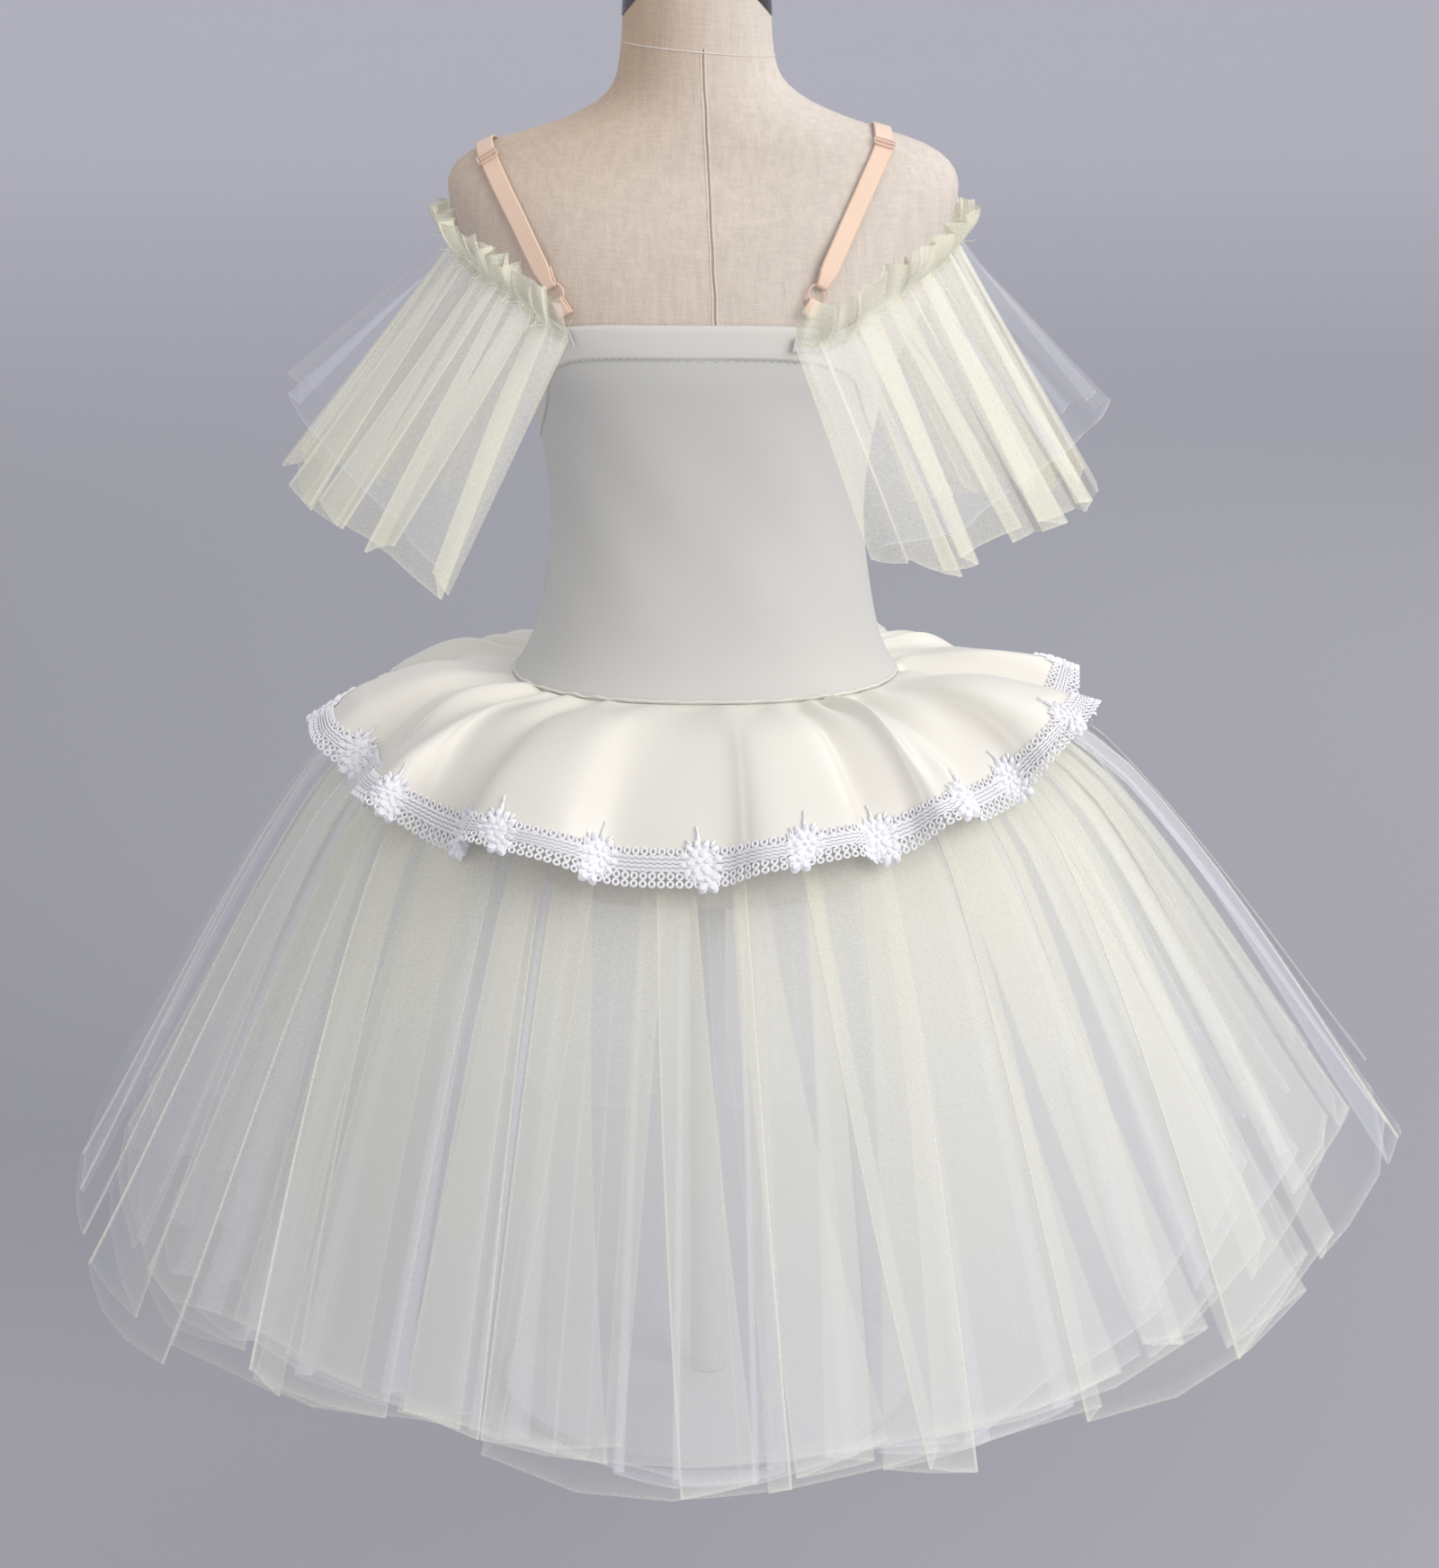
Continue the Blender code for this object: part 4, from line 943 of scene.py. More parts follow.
def build_bodice():
    finish = cloth_finish("stretch_knit", look().knit, 0.62, 0.1, 1400.0, 0.12, 0.0004, (1.0, 1.0, 0.4)).made
    columns, rows = BODICE_GRID
    for side, start, node in (("back", 0.0, "bodice_back"), ("front", math.pi, "bodice_front")):
        body, places = grid_sheet(columns, rows)
        first, span = start + SIDE_GAP / 2, math.pi - SIDE_GAP
        bearings = (first + span * np.linspace(0, 1, columns + 1))[None, :]
        shares = np.linspace(1, 0, rows + 1)[:, None]
        heights = shares * bodice_top(np.degrees(bearings))
        soft = 0.0004 * np.sin(9 * bearings + 14 * shares) * np.sin(math.pi * shares)
        shape_sheet(body, places, bodice_point(heights, bearings, soft))
        piece = add_piece(body, f"bodice_{side}_knit", finish, [node])
        thicken(piece, CLOTH)
    build_top_band()
    build_side_seams(finish)


def build_top_band():
    """The folded elastic along the top edge, with its zigzag stitching."""
    columns, rows = TOP_BAND_GRID
    body, places = grid_sheet(columns, rows)
    bearings = np.linspace(0, 2 * math.pi, columns + 1)[None, :]
    top = bodice_top(np.degrees(bearings))
    depth = np.linspace(0, 1, rows + 1)[:, None]
    lift = 0.0006 * (1 - depth**6) + 0.00005 - 0.0006 * (1 - depth) ** 12
    shape_sheet(body, places, bodice_point(top - TOP_BAND_WIDTH * depth, bearings, lift + 0 * bearings))
    close_ring(body)
    finish = Finish("band_knit", look().band, 0.6, 0.1)
    band = add_piece(body, "top_band_knit", finish.made, ["top_band"])
    thicken(band, 0.0001)
    turns = np.linspace(0, 2 * math.pi, BAND_STITCHES, endpoint=False)
    lines = []
    for k, (a, b) in enumerate(zip(turns, turns + 2 * math.pi / BAND_STITCHES)):
        ends = []
        for bearing, down in zip((a, b), (0.93, 1.03) if k % 2 else (1.03, 0.93)):
            height = bodice_top(math.degrees(bearing)) - TOP_BAND_WIDTH * down
            ends.append(bodice_point(height, bearing, np.asarray(0.0005)))
        lines.append(np.array(ends))
    stitch = Finish("stitch_thread", look().stitch, 0.8)
    add_cords("top_band_stitches", lines, STITCH_RADIUS, stitch.made)


def build_side_seams(finish):
    """The closed seams down the bodice's sides."""
    lines = []
    for bearing in (0.0, math.pi):
        top = float(bodice_top(math.degrees(bearing))) - TOP_BAND_WIDTH
        heights = np.linspace(top, 0.004, 40)
        lines.append(bodice_point(heights, np.full(40, bearing), np.full(40, -0.0002)))
    add_cords("bodice_side_seams", lines, 0.0006, finish)


# The peplum and its lace


def peplum_surface():
    """A function of turn and share that gives points of the satin's face."""

    def root(angle):
        return bodice_point(0.0 * angle, angle, np.full(np.shape(angle), -CLOTH))

    base = edge_base(root, PEPLUM_EDGE, PEPLUM_RUN, root_drop=PEPLUM_SEAM)
    drift = drifts(PEPLUM_DRIFTS)
    folds = Folds(12, 0.0142, 0.05, 0.53, -0.5, drift["lean"], drift["spacing"], drift["depths"])

    def point(s, share):
        points, out, _ = folded(base, folds, s, share, np.maximum(share, 1e-6) ** PEPLUM_GROWTH)
        body = np.sin(0.78 * math.pi * np.clip(share, 0, 1) ** 0.8)
        turned = s + drift["sideways"](s) * share
        swell = drift["gathers"](turned + 0.014 * share) * gathered(share, PEPLUM_GATHERS)
        swell = swell + (drift["soft"](turned + 0.03 * share) + drift["slow"](s - 0.02 * share)) * body
        return points + out * swell[..., None]

    return point


def build_peplum():
    point = peplum_surface()
    columns, rows = PEPLUM_GRID
    body, places = grid_sheet(columns, rows)
    s = np.linspace(0, 1, columns + 1)[None, :]
    share = np.linspace(0, 1, rows - 1)[:, None]
    points = point(s, share)
    pinch = wander(*PEPLUM_DRIFTS["pinch"])(s[0])
    ruffs = [
        bodice_point(height + pinch, 2 * math.pi * s[0], np.full(columns + 1, out))
        for height, out in ((0.0016, 0.00004), (0.0008, 0.0005))
    ]
    shape_sheet(body, places, np.concatenate([np.array(ruffs), points]))
    close_ring(body)
    finish = cloth_finish("satin_cloth", look().satin, 0.42, 0.2, 1600.0, 0.08, 0.0003)
    finish.set(finish.shader, {"Sheen Roughness": 0.4})
    piece = add_piece(body, "peplum_satin", finish.made, ["peplum"])
    thicken(piece, 0.0002)


# A raised shape of the lace's flowers, in millimetres: centre along and up, length, width and height, and its
# turn in degrees.
Petal = namedtuple("Petal", "along up length width rise turn")


def petal_ring(along, up, radius, count, first, shape):
    """Petals set evenly round a point and pointing away from it."""
    turns = [first + 360 / count * k for k in range(count)]
    spots = [(math.cos(math.radians(turn)) * radius, math.sin(math.radians(turn)) * radius) for turn in turns]
    return [Petal(along + x, up + y, *shape, turn) for (x, y), turn in zip(spots, turns)]


FLOWER = [
    Petal(0.5, 12.5, 21.0, 18.0, 1.5, 90),
    Petal(-3.5, 3.4, 13.0, 12.0, 1.5, 0),
    Petal(-3.5, 2.4, 4.0, 4.0, 3.4, 0),
    *petal_ring(-3.5, 2.4, 4.8, 5, 90, (6.8, 5.6, 2.9)),
    Petal(1.0, 12.6, 3.8, 3.8, 3.4, 0),
    *petal_ring(1.0, 12.6, 4.9, 6, 54, (6.4, 4.6, 2.9)),
    *petal_ring(0.5, 12.8, 9.8, 12, 20, (6.6, 4.0, 2.3)),
    Petal(1.6, 26.0, 8.4, 2.2, 1.4, 80),
    Petal(2.4, 31.0, 5.0, 1.4, 1.2, 80),
    Petal(6.8, 23.4, 5.8, 2.0, 1.3, 40),
    Petal(-6.4, 22.6, 5.0, 2.0, 1.3, 126),
]
LACE_OVERHANG = 0.0050
LACE_LIFT = 0.0005
FLOWERS_ROUND = 29
RINGS_PER_FLOWER = 12
RING_ROWS = (0.0006, 0.0050, 0.0182)
RING_SHAPE = (0.0017, 0.0007)  # radius of a ring of the lace and of its thread
LACE_CORDS = (0.0082, 0.0105, 0.0128, 0.0151)
CORD_RADIUS = 0.00095
CORD_STEP = 0.0021


def lace_place():
    """A function that lays flat lace on the satin, from metres along, up and out, and its edge's length."""
    point = peplum_surface()
    s = np.linspace(0, 1, 3001)
    edge = point(s, np.ones_like(s))
    along = np.concatenate([[0.0], np.cumsum(np.linalg.norm(np.diff(edge, axis=0), axis=1))])
    depths = [point(s, np.full_like(s, 1 - 0.03 * k)) for k in range(9)]
    fall = sum(np.linalg.norm(a - b, axis=1) for a, b in zip(depths, depths[1:])) / 0.24

    def place(a, b, h):
        turn = np.interp(np.mod(a, along[-1]), along, s)
        share = 1 - (b - LACE_OVERHANG) / np.interp(turn, s, fall)
        step = 0.0008
        across = point(turn + step, share) - point(turn - step, share)
        down = point(turn, share + 4 * step) - point(turn, share - 4 * step)
        return point(turn, share) + unit(np.cross(down, across)) * (LACE_LIFT + h)[..., None]

    return place, along[-1]


def flower_body():
    """One flower of the lace, flat, as raised petals."""
    body = bmesh.new()
    for petal in FLOWER:
        made = bmesh.ops.create_cone(body, cap_ends=True, segments=10, radius1=0.5, radius2=0.26, depth=1.0)
        turn = math.radians(petal.turn)
        for v in made["verts"]:
            x = v.co.x * petal.length
            y = v.co.y * petal.width * (1 - 0.8 * v.co.x * v.co.x)
            across = petal.along + x * math.cos(turn) - y * math.sin(turn)
            up = petal.up + x * math.sin(turn) + y * math.cos(turn)
            v.co = (across / 1000, up / 1000, petal.rise * (v.co.z + 0.5) / 1000)
    return body


def build_lace():
    """The lace sewn over the satin's edge: rows of rings, close cords between them, and flowers."""
    place, total = lace_place()
    pitch = total / FLOWERS_ROUND
    flat = bmesh.new()
    flower = bpy.data.meshes.new("lace_flower")
    flower_body().to_mesh(flower)
    draw = random.Random(61)
    for k in range(FLOWERS_ROUND):
        before = len(flat.verts)
        flat.from_mesh(flower)
        flat.verts.ensure_lookup_table()
        mirror = -1 if k % 2 else 1
        middle = (k + 0.5) * pitch + draw.uniform(-0.0015, 0.0015)
        for v in flat.verts[before:]:
            v.co.x = middle + mirror * v.co.x
    bpy.data.meshes.remove(flower)
    radius, thread = RING_SHAPE
    turns = np.linspace(0, 2 * math.pi, 8, endpoint=False)
    rings = []
    for row in RING_ROWS:
        for k in range(FLOWERS_ROUND * RINGS_PER_FLOWER):
            x = (k + 0.5) * pitch / RINGS_PER_FLOWER
            ring = [x + radius * np.cos(turns), row + radius * np.sin(turns), np.full(8, thread)]
            rings.append(np.column_stack(ring))
    steps = 2 * int(total / CORD_STEP / 2) + 1
    x = np.linspace(0, total, steps)
    bumps = 0.0003 * (-1.0) ** np.arange(steps)
    cords = [np.column_stack([x, row + bumps, CORD_RADIUS + bumps]) for row in LACE_CORDS]
    for name, lines, size, closed in (("rings", rings, thread, True), ("cords", cords, CORD_RADIUS, False)):
        mesh = cords_mesh(f"lace_{name}", lines, size, closed)
        flat.from_mesh(mesh)
        bpy.data.meshes.remove(mesh)
    spots = np.array([v.co for v in flat.verts])
    for v, spot in zip(flat.verts, place(*spots.T)):
        v.co = spot
    bmesh.ops.recalc_face_normals(flat, faces=flat.faces)
    finish = cloth_finish("lace_thread", look().lace, 0.85, 0.2, 2500.0, 0.3, 0.0003)
    add_piece(flat, "peplum_lace_thread", finish.made, ["peplum_lace"], sharp=60)


# The skirt


def net_values(base, shares, u, creases, tones, density):
    """How much a net sheet covers and where it is creased: more where it is crowded, folded or cut."""
    step = 0.001
    t = shares[:, None] + 0 * u
    pitch = np.linalg.norm(base(u + step, t) - base(u - step, t), axis=-1)
    crowding = np.clip(pitch[-1:] / np.maximum(pitch, 1e-6), 1.0, 4.0) ** look().crowding
    dense = 1 - (1 - density) ** (crowding * tones)
    hem = np.interp(shares, *zip(*HEM_CREASE))[:, None]
    crease = np.maximum(creases, hem)
    return dense + (1 - dense) * look().crease_density * crease, crease


def side_bearing(u):
    """1 at the skirt's two sides, where the outermost net is a single white layer, and 0 elsewhere."""
    apart = [np.abs((360 * u - centre + 180) % 360 - 180) for centre in (0.0, 184.0)]
    return np.clip((26.0 - np.minimum(*apart)) / 10.0, 0.0, 1.0)


def build_ply(ply):
    def root(angle):
        return yoke_point(ply.root_drop, angle) + stacked(np.cos(angle), np.sin(angle), 0 * angle) * PLY_GAP

    drift = drifts(SKIRT_DRIFTS, ply.seed, spacing=1 / ply.folds, hem=ply.hem_wander)
    base = edge_base(root, SKIRT_EDGE, SKIRT_RUN, ply.reach, ply.drop, ply.root_drop, drift["hem"])
    shares = np.array(NET_ROWS, float)
    t = shares[:, None]
    growths = NET_GROWTH_START + (1 - NET_GROWTH_START) * t**FOLD_GROWTH
    depth = look().fold_depth
    if ply.cream:
        own = {"count": ply.folds, "depth": depth, "line": ply.crisp, "seed": ply.seed + SKIRT_PLEATS.seed}
        pleats = SKIRT_PLEATS._replace(**own)
        points, out, creases, tones, u = pleated(base, pleats, shares, growths, spacing=drift["spacing"])
    else:
        folds = Folds(ply.folds, depth, 0.12, 0.0, 0.5, drift["lean"], drift["spacing"], drift["depths"])
        points, out, creases, tones, u = waved(base, folds, shares, growths)
    sway = drift["billow"](u + 0.03 * t) * np.sin(2.2 * t) * t
    sway = sway + drift["gathers"](u) * gathered(t, SKIRT_GATHERS)
    points = points + out * sway[..., None]
    density = look().cream_density if ply.cream else look().white_density
    tones = shaded(tones, CREAM_SHADING if ply.cream else WHITE_SHADING, drift["streaks"](u), t)
    side = side_bearing(u) if ply == PLIES[0] else 0 * u
    dense, crease = net_values(base, shares, u, creases, tones * (1 - SIDE_THINNING * side), density)
    pale = np.maximum(side, HEM_PALENESS * t)
    # Painted light: the cream net is lightened by its seam, where the peplum shades it, on top of the painted
    # highlight along its creases.
    crease = np.maximum(crease, TOP_PAINTED_LIGHT * ply.cream * np.exp(-t / TOP_FADE))
    finish = "cream_net" if ply.cream else "white_net"
    values = {"cover": dense, "fold_line": crease, "pale": pale}
    return add_net(f"net_{ply.name}", f"tulle_{ply.name}", finish, ply.cream, points, closed=True, **values)


def build_skirt():
    for ply in PLIES:
        piece = build_ply(ply)
        width, length, area = ply.cut
    finish_node("hip_yoke", "stretch_knit")


# Sleeves


def sleeve_bearing(sleeve, turn):
    return sleeve.front_bearing + (sleeve.back_bearing - sleeve.front_bearing) * turn


def band_point(sleeve, turn, lift, rise=0.0):
    """Points along a sleeve's band, from its front end at 0 to its back end at 1."""
    bearing = sleeve_bearing(sleeve, turn)
    height = smooth_rows(SLEEVE_BAND, bearing)[0]
    over = 180 - bearing if sleeve.mirror else bearing
    end = (bodice_top(over) + SLEEVE_END_MARGIN - height) / SLEEVE_END_EASE
    out = SLEEVE_BAND_LIFT + (SLEEVE_END_LIFT - SLEEVE_BAND_LIFT) * smooth_step(end) + lift
    angle = np.radians(over)
    return form_point(height + rise, angle) + form_normal(height + rise, angle) * out[..., None]


def sleeve_base(sleeve, ply):
    """The smooth surface under a flounce's folds: straight rulings that fan out from the band."""
    side = -1.0 if sleeve.mirror else 1.0

    def base(u, share):
        turn = np.clip(u, 0.0, 1.0)
        bearing = sleeve_bearing(sleeve, turn)
        end_bearing = np.where(bearing > 0, sleeve.back_bearing, sleeve.front_bearing)
        end_slope = np.where(bearing > 0, sleeve.slope_back, sleeve.slope_front)
        to_end = bearing / end_bearing
        middle = 1 - to_end * to_end
        end_length = ply.end_length * np.where(bearing > 0, sleeve.back_length, 1.0)
        length = SLEEVE_LENGTH * (end_length + (ply.middle_length - end_length) * middle)
        turned = (end_slope - sleeve.slope_out) * to_end - ply.raised * middle
        slope = np.radians(sleeve.slope_out + turned)
        fan = np.radians(bearing * SLEEVE_FAN)
        level = stacked(side * np.cos(fan), np.sin(fan), 0 * fan)
        up = np.array([0.0, 0.0, 1.0])
        down = level * np.cos(slope)[..., None] - up * np.sin(slope)[..., None]
        out = level * np.sin(slope)[..., None] + up * np.cos(slope)[..., None]
        start = band_point(sleeve, turn, TULLE + 2 * SLEEVE_PLY_GAP)
        if ply.cream:
            return start + down * (length * share)[..., None]
        apart = TULLE + SLEEVE_PLY_GAP * (1 + SLEEVE_PLY_SPREAD * share) + 0 * length
        along = SLEEVE_WHITE_START + length * share
        return start + out * apart[..., None] + down * along[..., None]

    return base


def frilled_head(sleeve, points, turns, drift):
    """Rows of the heading, a crumpled frill that stands above the band, from its free edge down."""
    away = unit(band_point(sleeve, turns, 1.0) - band_point(sleeve, turns, 0.0))
    side = unit(np.cross(away, (0.0, 0.0, 1.0)))
    frill, crumple, sway = (drift[name](turns) for name in ("frill", "crumple", "sway"))
    ragged = 1 + drift["ragged"](turns)
    rows = []
    for grown in SLEEVE_HEAD_ROWS:
        up = np.array([0.0, 0.0, 1.0]) * (SLEEVE_HEAD_HEIGHT * grown * ragged)[..., None]
        wave = frill * grown + crumple * math.sin(2.6 * grown) + 0.35 * math.sin(2.2 * grown)
        swung = side * (sway * grown)[..., None]
        rows.append(points[0] + up + swung + away * (SLEEVE_HEAD_LEAN * (0.5 * grown + wave))[..., None])
    return np.array(rows)


def build_sleeve_ply(sleeve, ply):
    base = sleeve_base(sleeve, ply)
    seed = ply.seed + (MIRROR_SEED if sleeve.mirror else 0)
    drift = drifts(SLEEVE_DRIFTS, seed)
    shares = np.array(SLEEVE_ROWS, float)
    t = shares[:, None]
    if ply.cream:
        growths = NET_GROWTH_START + (1 - NET_GROWTH_START) * t
        pleats = SLEEVE_PLEATS._replace(count=ply.folds, seed=seed)
        points, out, creases, tones, u = pleated(base, pleats, shares, growths, ring=False)
    else:
        lean, even, depths = drift["lean"], lambda turn: 0.0 * turn, drift["depths"]
        folds = Folds(ply.folds, SLEEVE_PLEATS.depth, 0.1, 0.0, 0.4, lean, even, depths)
        ends = np.sin(math.pi * np.linspace(0, 1, ply.folds * WAVE_COLUMNS + 1))[None, :]
        fuller = SLEEVE_END_DEPTH + (1 - SLEEVE_END_DEPTH) * ends
        points, out, creases, tones, u = waved(base, folds, shares, t * fuller)
    points = points + out * (drift["gathers"](u) * gathered(t, SLEEVE_GATHERS))[..., None]
    tones = shaded(tones, SLEEVE_SHADING, drift["streaks"](u), t)
    density = (look().cream_density if ply.cream else look().white_density) * ply.density
    dense, crease = net_values(base, shares, u, creases * ply.creases, tones, density)
    if ply.cream:
        head = frilled_head(sleeve, points, u[0], drift)
        points = np.concatenate([head, points])
        dense = np.concatenate([np.repeat(np.clip(dense[:1], *SLEEVE_HEAD_DENSITY), len(head), axis=0), dense])
        crease = np.concatenate([np.repeat(crease[:1] * 0.3, len(head), axis=0), crease])
    if sleeve.mirror:
        points, dense, crease = points[:, ::-1], dense[:, ::-1], crease[:, ::-1]
    name = f"sleeve_{sleeve.side}_{ply.name}"
    finish = "sleeve_net" if ply.cream else "white_net"
    # The crease strength is also the painted highlight's share of the lighter colour.
    values = {"cover": dense, "fold_line": crease, "pale": 0 * dense}
    piece = add_net(f"{name}_net", name, finish, ply.cream, points, **values)
    width, length, area = ply.cut


def build_sleeve_threads(sleeve):
    """Loose ends of thread along a heading, thickest at its back end."""
    draw = random.Random(97 if sleeve.mirror else 71)
    lines = []
    for _ in range(SLEEVE_THREADS.count):
        turn = np.array([min(1.0, draw.random() ** 0.5)])
        start = band_point(sleeve, turn, 0.003, 0.002)[0]
        away = unit(band_point(sleeve, turn, 1.0) - band_point(sleeve, turn, 0.0))[0]
        way = unit(np.array([draw.gauss(0, 0.6), draw.gauss(0, 0.5), draw.gauss(0.55, 0.8)]) + away * 0.5)
        curl = unit(np.array([draw.gauss(0, 1), draw.gauss(0, 1), draw.gauss(0, 1)]))
        length = draw.uniform(SLEEVE_THREADS.shortest, SLEEVE_THREADS.longest)
        steps = np.linspace(0, 1, 6)[:, None]
        lines.append(start + way * steps * length + curl * steps**2 * length * 0.45)
    thread = bpy.data.materials["cream_thread"]
    add_cords(f"sleeve_{sleeve.side}_threads", lines, SLEEVE_THREADS.radius, thread)


def build_sleeves():
    # The loose threads take the light cream of the nets' painted highlight as their own colour.
    Finish("cream_thread", look().cream_highlight, 0.8)
    net_finish("sleeve_net", look().sleeve_net, look().cream_highlight, look().white_net)
    for sleeve in SLEEVES:
        for ply in SLEEVE_PLIES:
            build_sleeve_ply(sleeve, ply)
        build_sleeve_threads(sleeve)
        finish_node(f"sleeve_{sleeve.side}_band", "stretch_knit")


# Straps and their fittings


def surface_ray(across, angle, lift):
    """The point over the form along a ray from inside the shoulder, from level at the back over the top."""
    ray = np.array([0.0, math.cos(angle), math.sin(angle)])
    centre = np.array([across, 0.0, SEAM_HEIGHT + STRAP_CENTRE_HEIGHT])
    reach = last_before(0.0, SEARCH_REACH, lambda far: fullness(centre + ray * far) < 1)[0]
    return centre + ray * (reach + lift)


def strap_point(strap, angle, lift):
    """A point of a strap's line, which is straight as seen from behind and from the front."""
    foot = strap.back_x if angle < math.pi / 2 else strap.front_x
    across = foot
    for _ in range(LINE_STEPS):
        point = surface_ray(across, angle, lift)
        rise = (point[2] - SEAM_HEIGHT - STRAP_FOOT) / (STRAP_CREST - STRAP_FOOT)
        across = foot + (strap.top_x - foot) * min(max(rise, 0.0), 1.0)
    return point


def angle_at_height(strap, height, low, high):
    """The angle at which a strap's line passes a height, between two angles."""
    rising = strap_point(strap, high, 0.0)[2] > strap_point(strap, low, 0.0)[2]

    def short_of_it(angle):
        return (strap_point(strap, angle, 0.0)[2] - SEAM_HEIGHT < height) == rising

    return last_before(low, high, short_of_it)[1]


def strap_frame(strap, angle):
    """Point on the form, and directions along the strap, across it and away from the form."""
    step = 0.02
    here = strap_point(strap, angle, 0.0)
    along = unit(strap_point(strap, angle + step, 0.0) - strap_point(strap, angle - step, 0.0))
    across = unit(np.cross(along, outward(here)))
    return here, along, across, unit(np.cross(across, along))


Station = namedtuple("Station", "point across width")


def hook(centre, along, across, out, straight, width):
    """Stations that come back along the form, pass narrowed through a ring and leave on its far side."""
    stations = []
    for share in np.linspace(1, 0, 6, endpoint=False):
        start = centre + along * straight * share - out * HOOK_RADIUS
        stations.append(Station(start, across, STRAP_PINCH + (width - STRAP_PINCH) * share))
    for i in range(HOOK_STEPS + 1):
        turn = math.pi * i / HOOK_STEPS
        reach = -along * math.sin(turn) - out * math.cos(turn)
        stations.append(Station(centre + reach * HOOK_RADIUS, across, STRAP_PINCH))
    return stations


def ribbon(name, stations, nodes):
    """A flat elastic through its stations."""
    columns = 8
    body, places = grid_sheet(columns, len(stations) - 1)
    across = np.linspace(0.5, -0.5, columns + 1)
    points = np.array([[st.point + st.across * st.width * a for a in across] for st in stations])
    shape_sheet(body, places, points)
    piece = add_piece(body, name, bpy.data.materials["strap_elastic"], nodes)
    thicken(piece, STRAP_WALL, 0.0)


def build_strap(strap):
    here, along, across, out = strap_frame(strap, angle_at_height(strap, RING_HEIGHT, *BACK_ANGLES))
    ring_centre = here + out * RING_LIFT
    build_ring(strap, ring_centre, out)

    stations = hook(ring_centre + along * RING_RADIUS, along, across, out, STRAP_TURN_BACK, STRAP_WIDTH)
    start_height = RING_HEIGHT + RING_RADIUS + STRAP_LEAVING
    start_angle = angle_at_height(strap, start_height, *BACK_ANGLES)
    front_bearing = 360 - STRAP_FRONT_BEARING if strap.side == "left" else 180 + STRAP_FRONT_BEARING
    front_edge = float(bodice_top(front_bearing)) + STRAP_FRONT_GAP
    end_angle = angle_at_height(strap, front_edge, *FRONT_ANGLES)
    high = RING_LIFT + HOOK_RADIUS
    travelled = STRAP_LEAVING
    before = None
    for i in range(STRAP_STEPS + 1):
        angle = start_angle + (end_angle - start_angle) * i / STRAP_STEPS
        here, _, side, away = strap_frame(strap, angle)
        if before is not None:
            travelled += np.linalg.norm(here - before)
        before = here
        lift = high + (STRAP_LIFT - high) * min(travelled / STRAP_SETTLE, 1.0)
        opened = min(travelled / (2 * STRAP_LEAVING), 1.0)
        width = STRAP_PINCH + (STRAP_WIDTH - STRAP_PINCH) * opened
        stations.append(Station(here + away * lift, side, width))
    ribbon(f"strap_{strap.side}_elastic", stations, [f"strap_{strap.side}"])

    low_wire = ring_centre - along * RING_RADIUS
    tab = hook(low_wire, -along, -across, out, TAB_LENGTH, TAB_WIDTH)
    for share in (0.25, 0.5, 0.75, 1.0):
        width = STRAP_PINCH + (TAB_WIDTH - STRAP_PINCH) * share
        tab.append(Station(low_wire + out * HOOK_RADIUS - along * TAB_LENGTH * share, -across, width))
    ribbon(f"strap_tab_{strap.side}_elastic", tab, [f"strap_tab_{strap.side}"])
    build_slider(strap)


def build_ring(strap, centre, axis):
    """A smooth wire ring, spun from its round section."""
    body = bmesh.new()
    bmesh.ops.create_circle(body, segments=12, radius=RING_WIRE)
    bmesh.ops.rotate(body, verts=body.verts, cent=(0, 0, 0), matrix=Matrix.Rotation(math.pi / 2, 3, "X"))
    bmesh.ops.translate(body, verts=body.verts, vec=(RING_RADIUS, 0, 0))
    bmesh.ops.spin(
        body, geom=list(body.verts) + list(body.edges), cent=(0, 0, 0), axis=(0, 0, 1),
        angle=2 * math.pi, steps=40, use_merge=True,
    )
    bmesh.ops.remove_doubles(body, verts=body.verts, dist=SAME_PLACE)
    bmesh.ops.recalc_face_normals(body, faces=body.faces)
    turn = Vector(axis).to_track_quat("Z", "Y").to_matrix().to_4x4()
    turn.translation = Vector(centre)
    bmesh.ops.transform(body, matrix=turn, verts=body.verts)
    name = f"strap_ring_{strap.side}"
    add_piece(body, f"{name}_wire", bpy.data.materials["rose_fitting"], [name])


def build_slider(strap):
    """A rounded wire frame with a middle bar, which the strap is threaded through."""
    here, along, across, out = strap_frame(strap, SLIDER_ANGLE)
    length, width = SLIDER_SIZE
    middle = STRAP_LIFT + STRAP_WALL / 2 + 2 * SEAM_GAP + SLIDER_BAR / 2
    half_length, half_width = (length - SLIDER_BAR) / 2, (width - SLIDER_BAR) / 2
    outline = []
    for k in range(4):
        sx, sy = (1, 1, -1, -1)[k], (1, -1, -1, 1)[k]
        turns = np.linspace(0, math.pi / 2, 6)
        turns = turns if k % 2 else turns[::-1]
        for a in turns:
            x = sx * (half_length - SLIDER_CORNER * (1 - math.cos(a)))
            y = sy * (half_width - SLIDER_CORNER * (1 - math.sin(a)))
            outline.append(here + along * x + across * y + out * middle)
    frame_mesh = cords_mesh("slider_frame", [np.array(outline)], SLIDER_BAR / 2, closed=True)
    bar = [here + across * (half_width * k) + out * middle for k in (-1, 1)]
    bar_mesh = cords_mesh("slider_bar", [np.array(bar)], SLIDER_BAR / 2)
    body = bmesh.new()
    body.from_mesh(frame_mesh)
    body.from_mesh(bar_mesh)
    name = f"strap_slider_{strap.side}"
    add_piece(body, f"{name}_frame", bpy.data.materials["rose_fitting"], [name])


# The stage


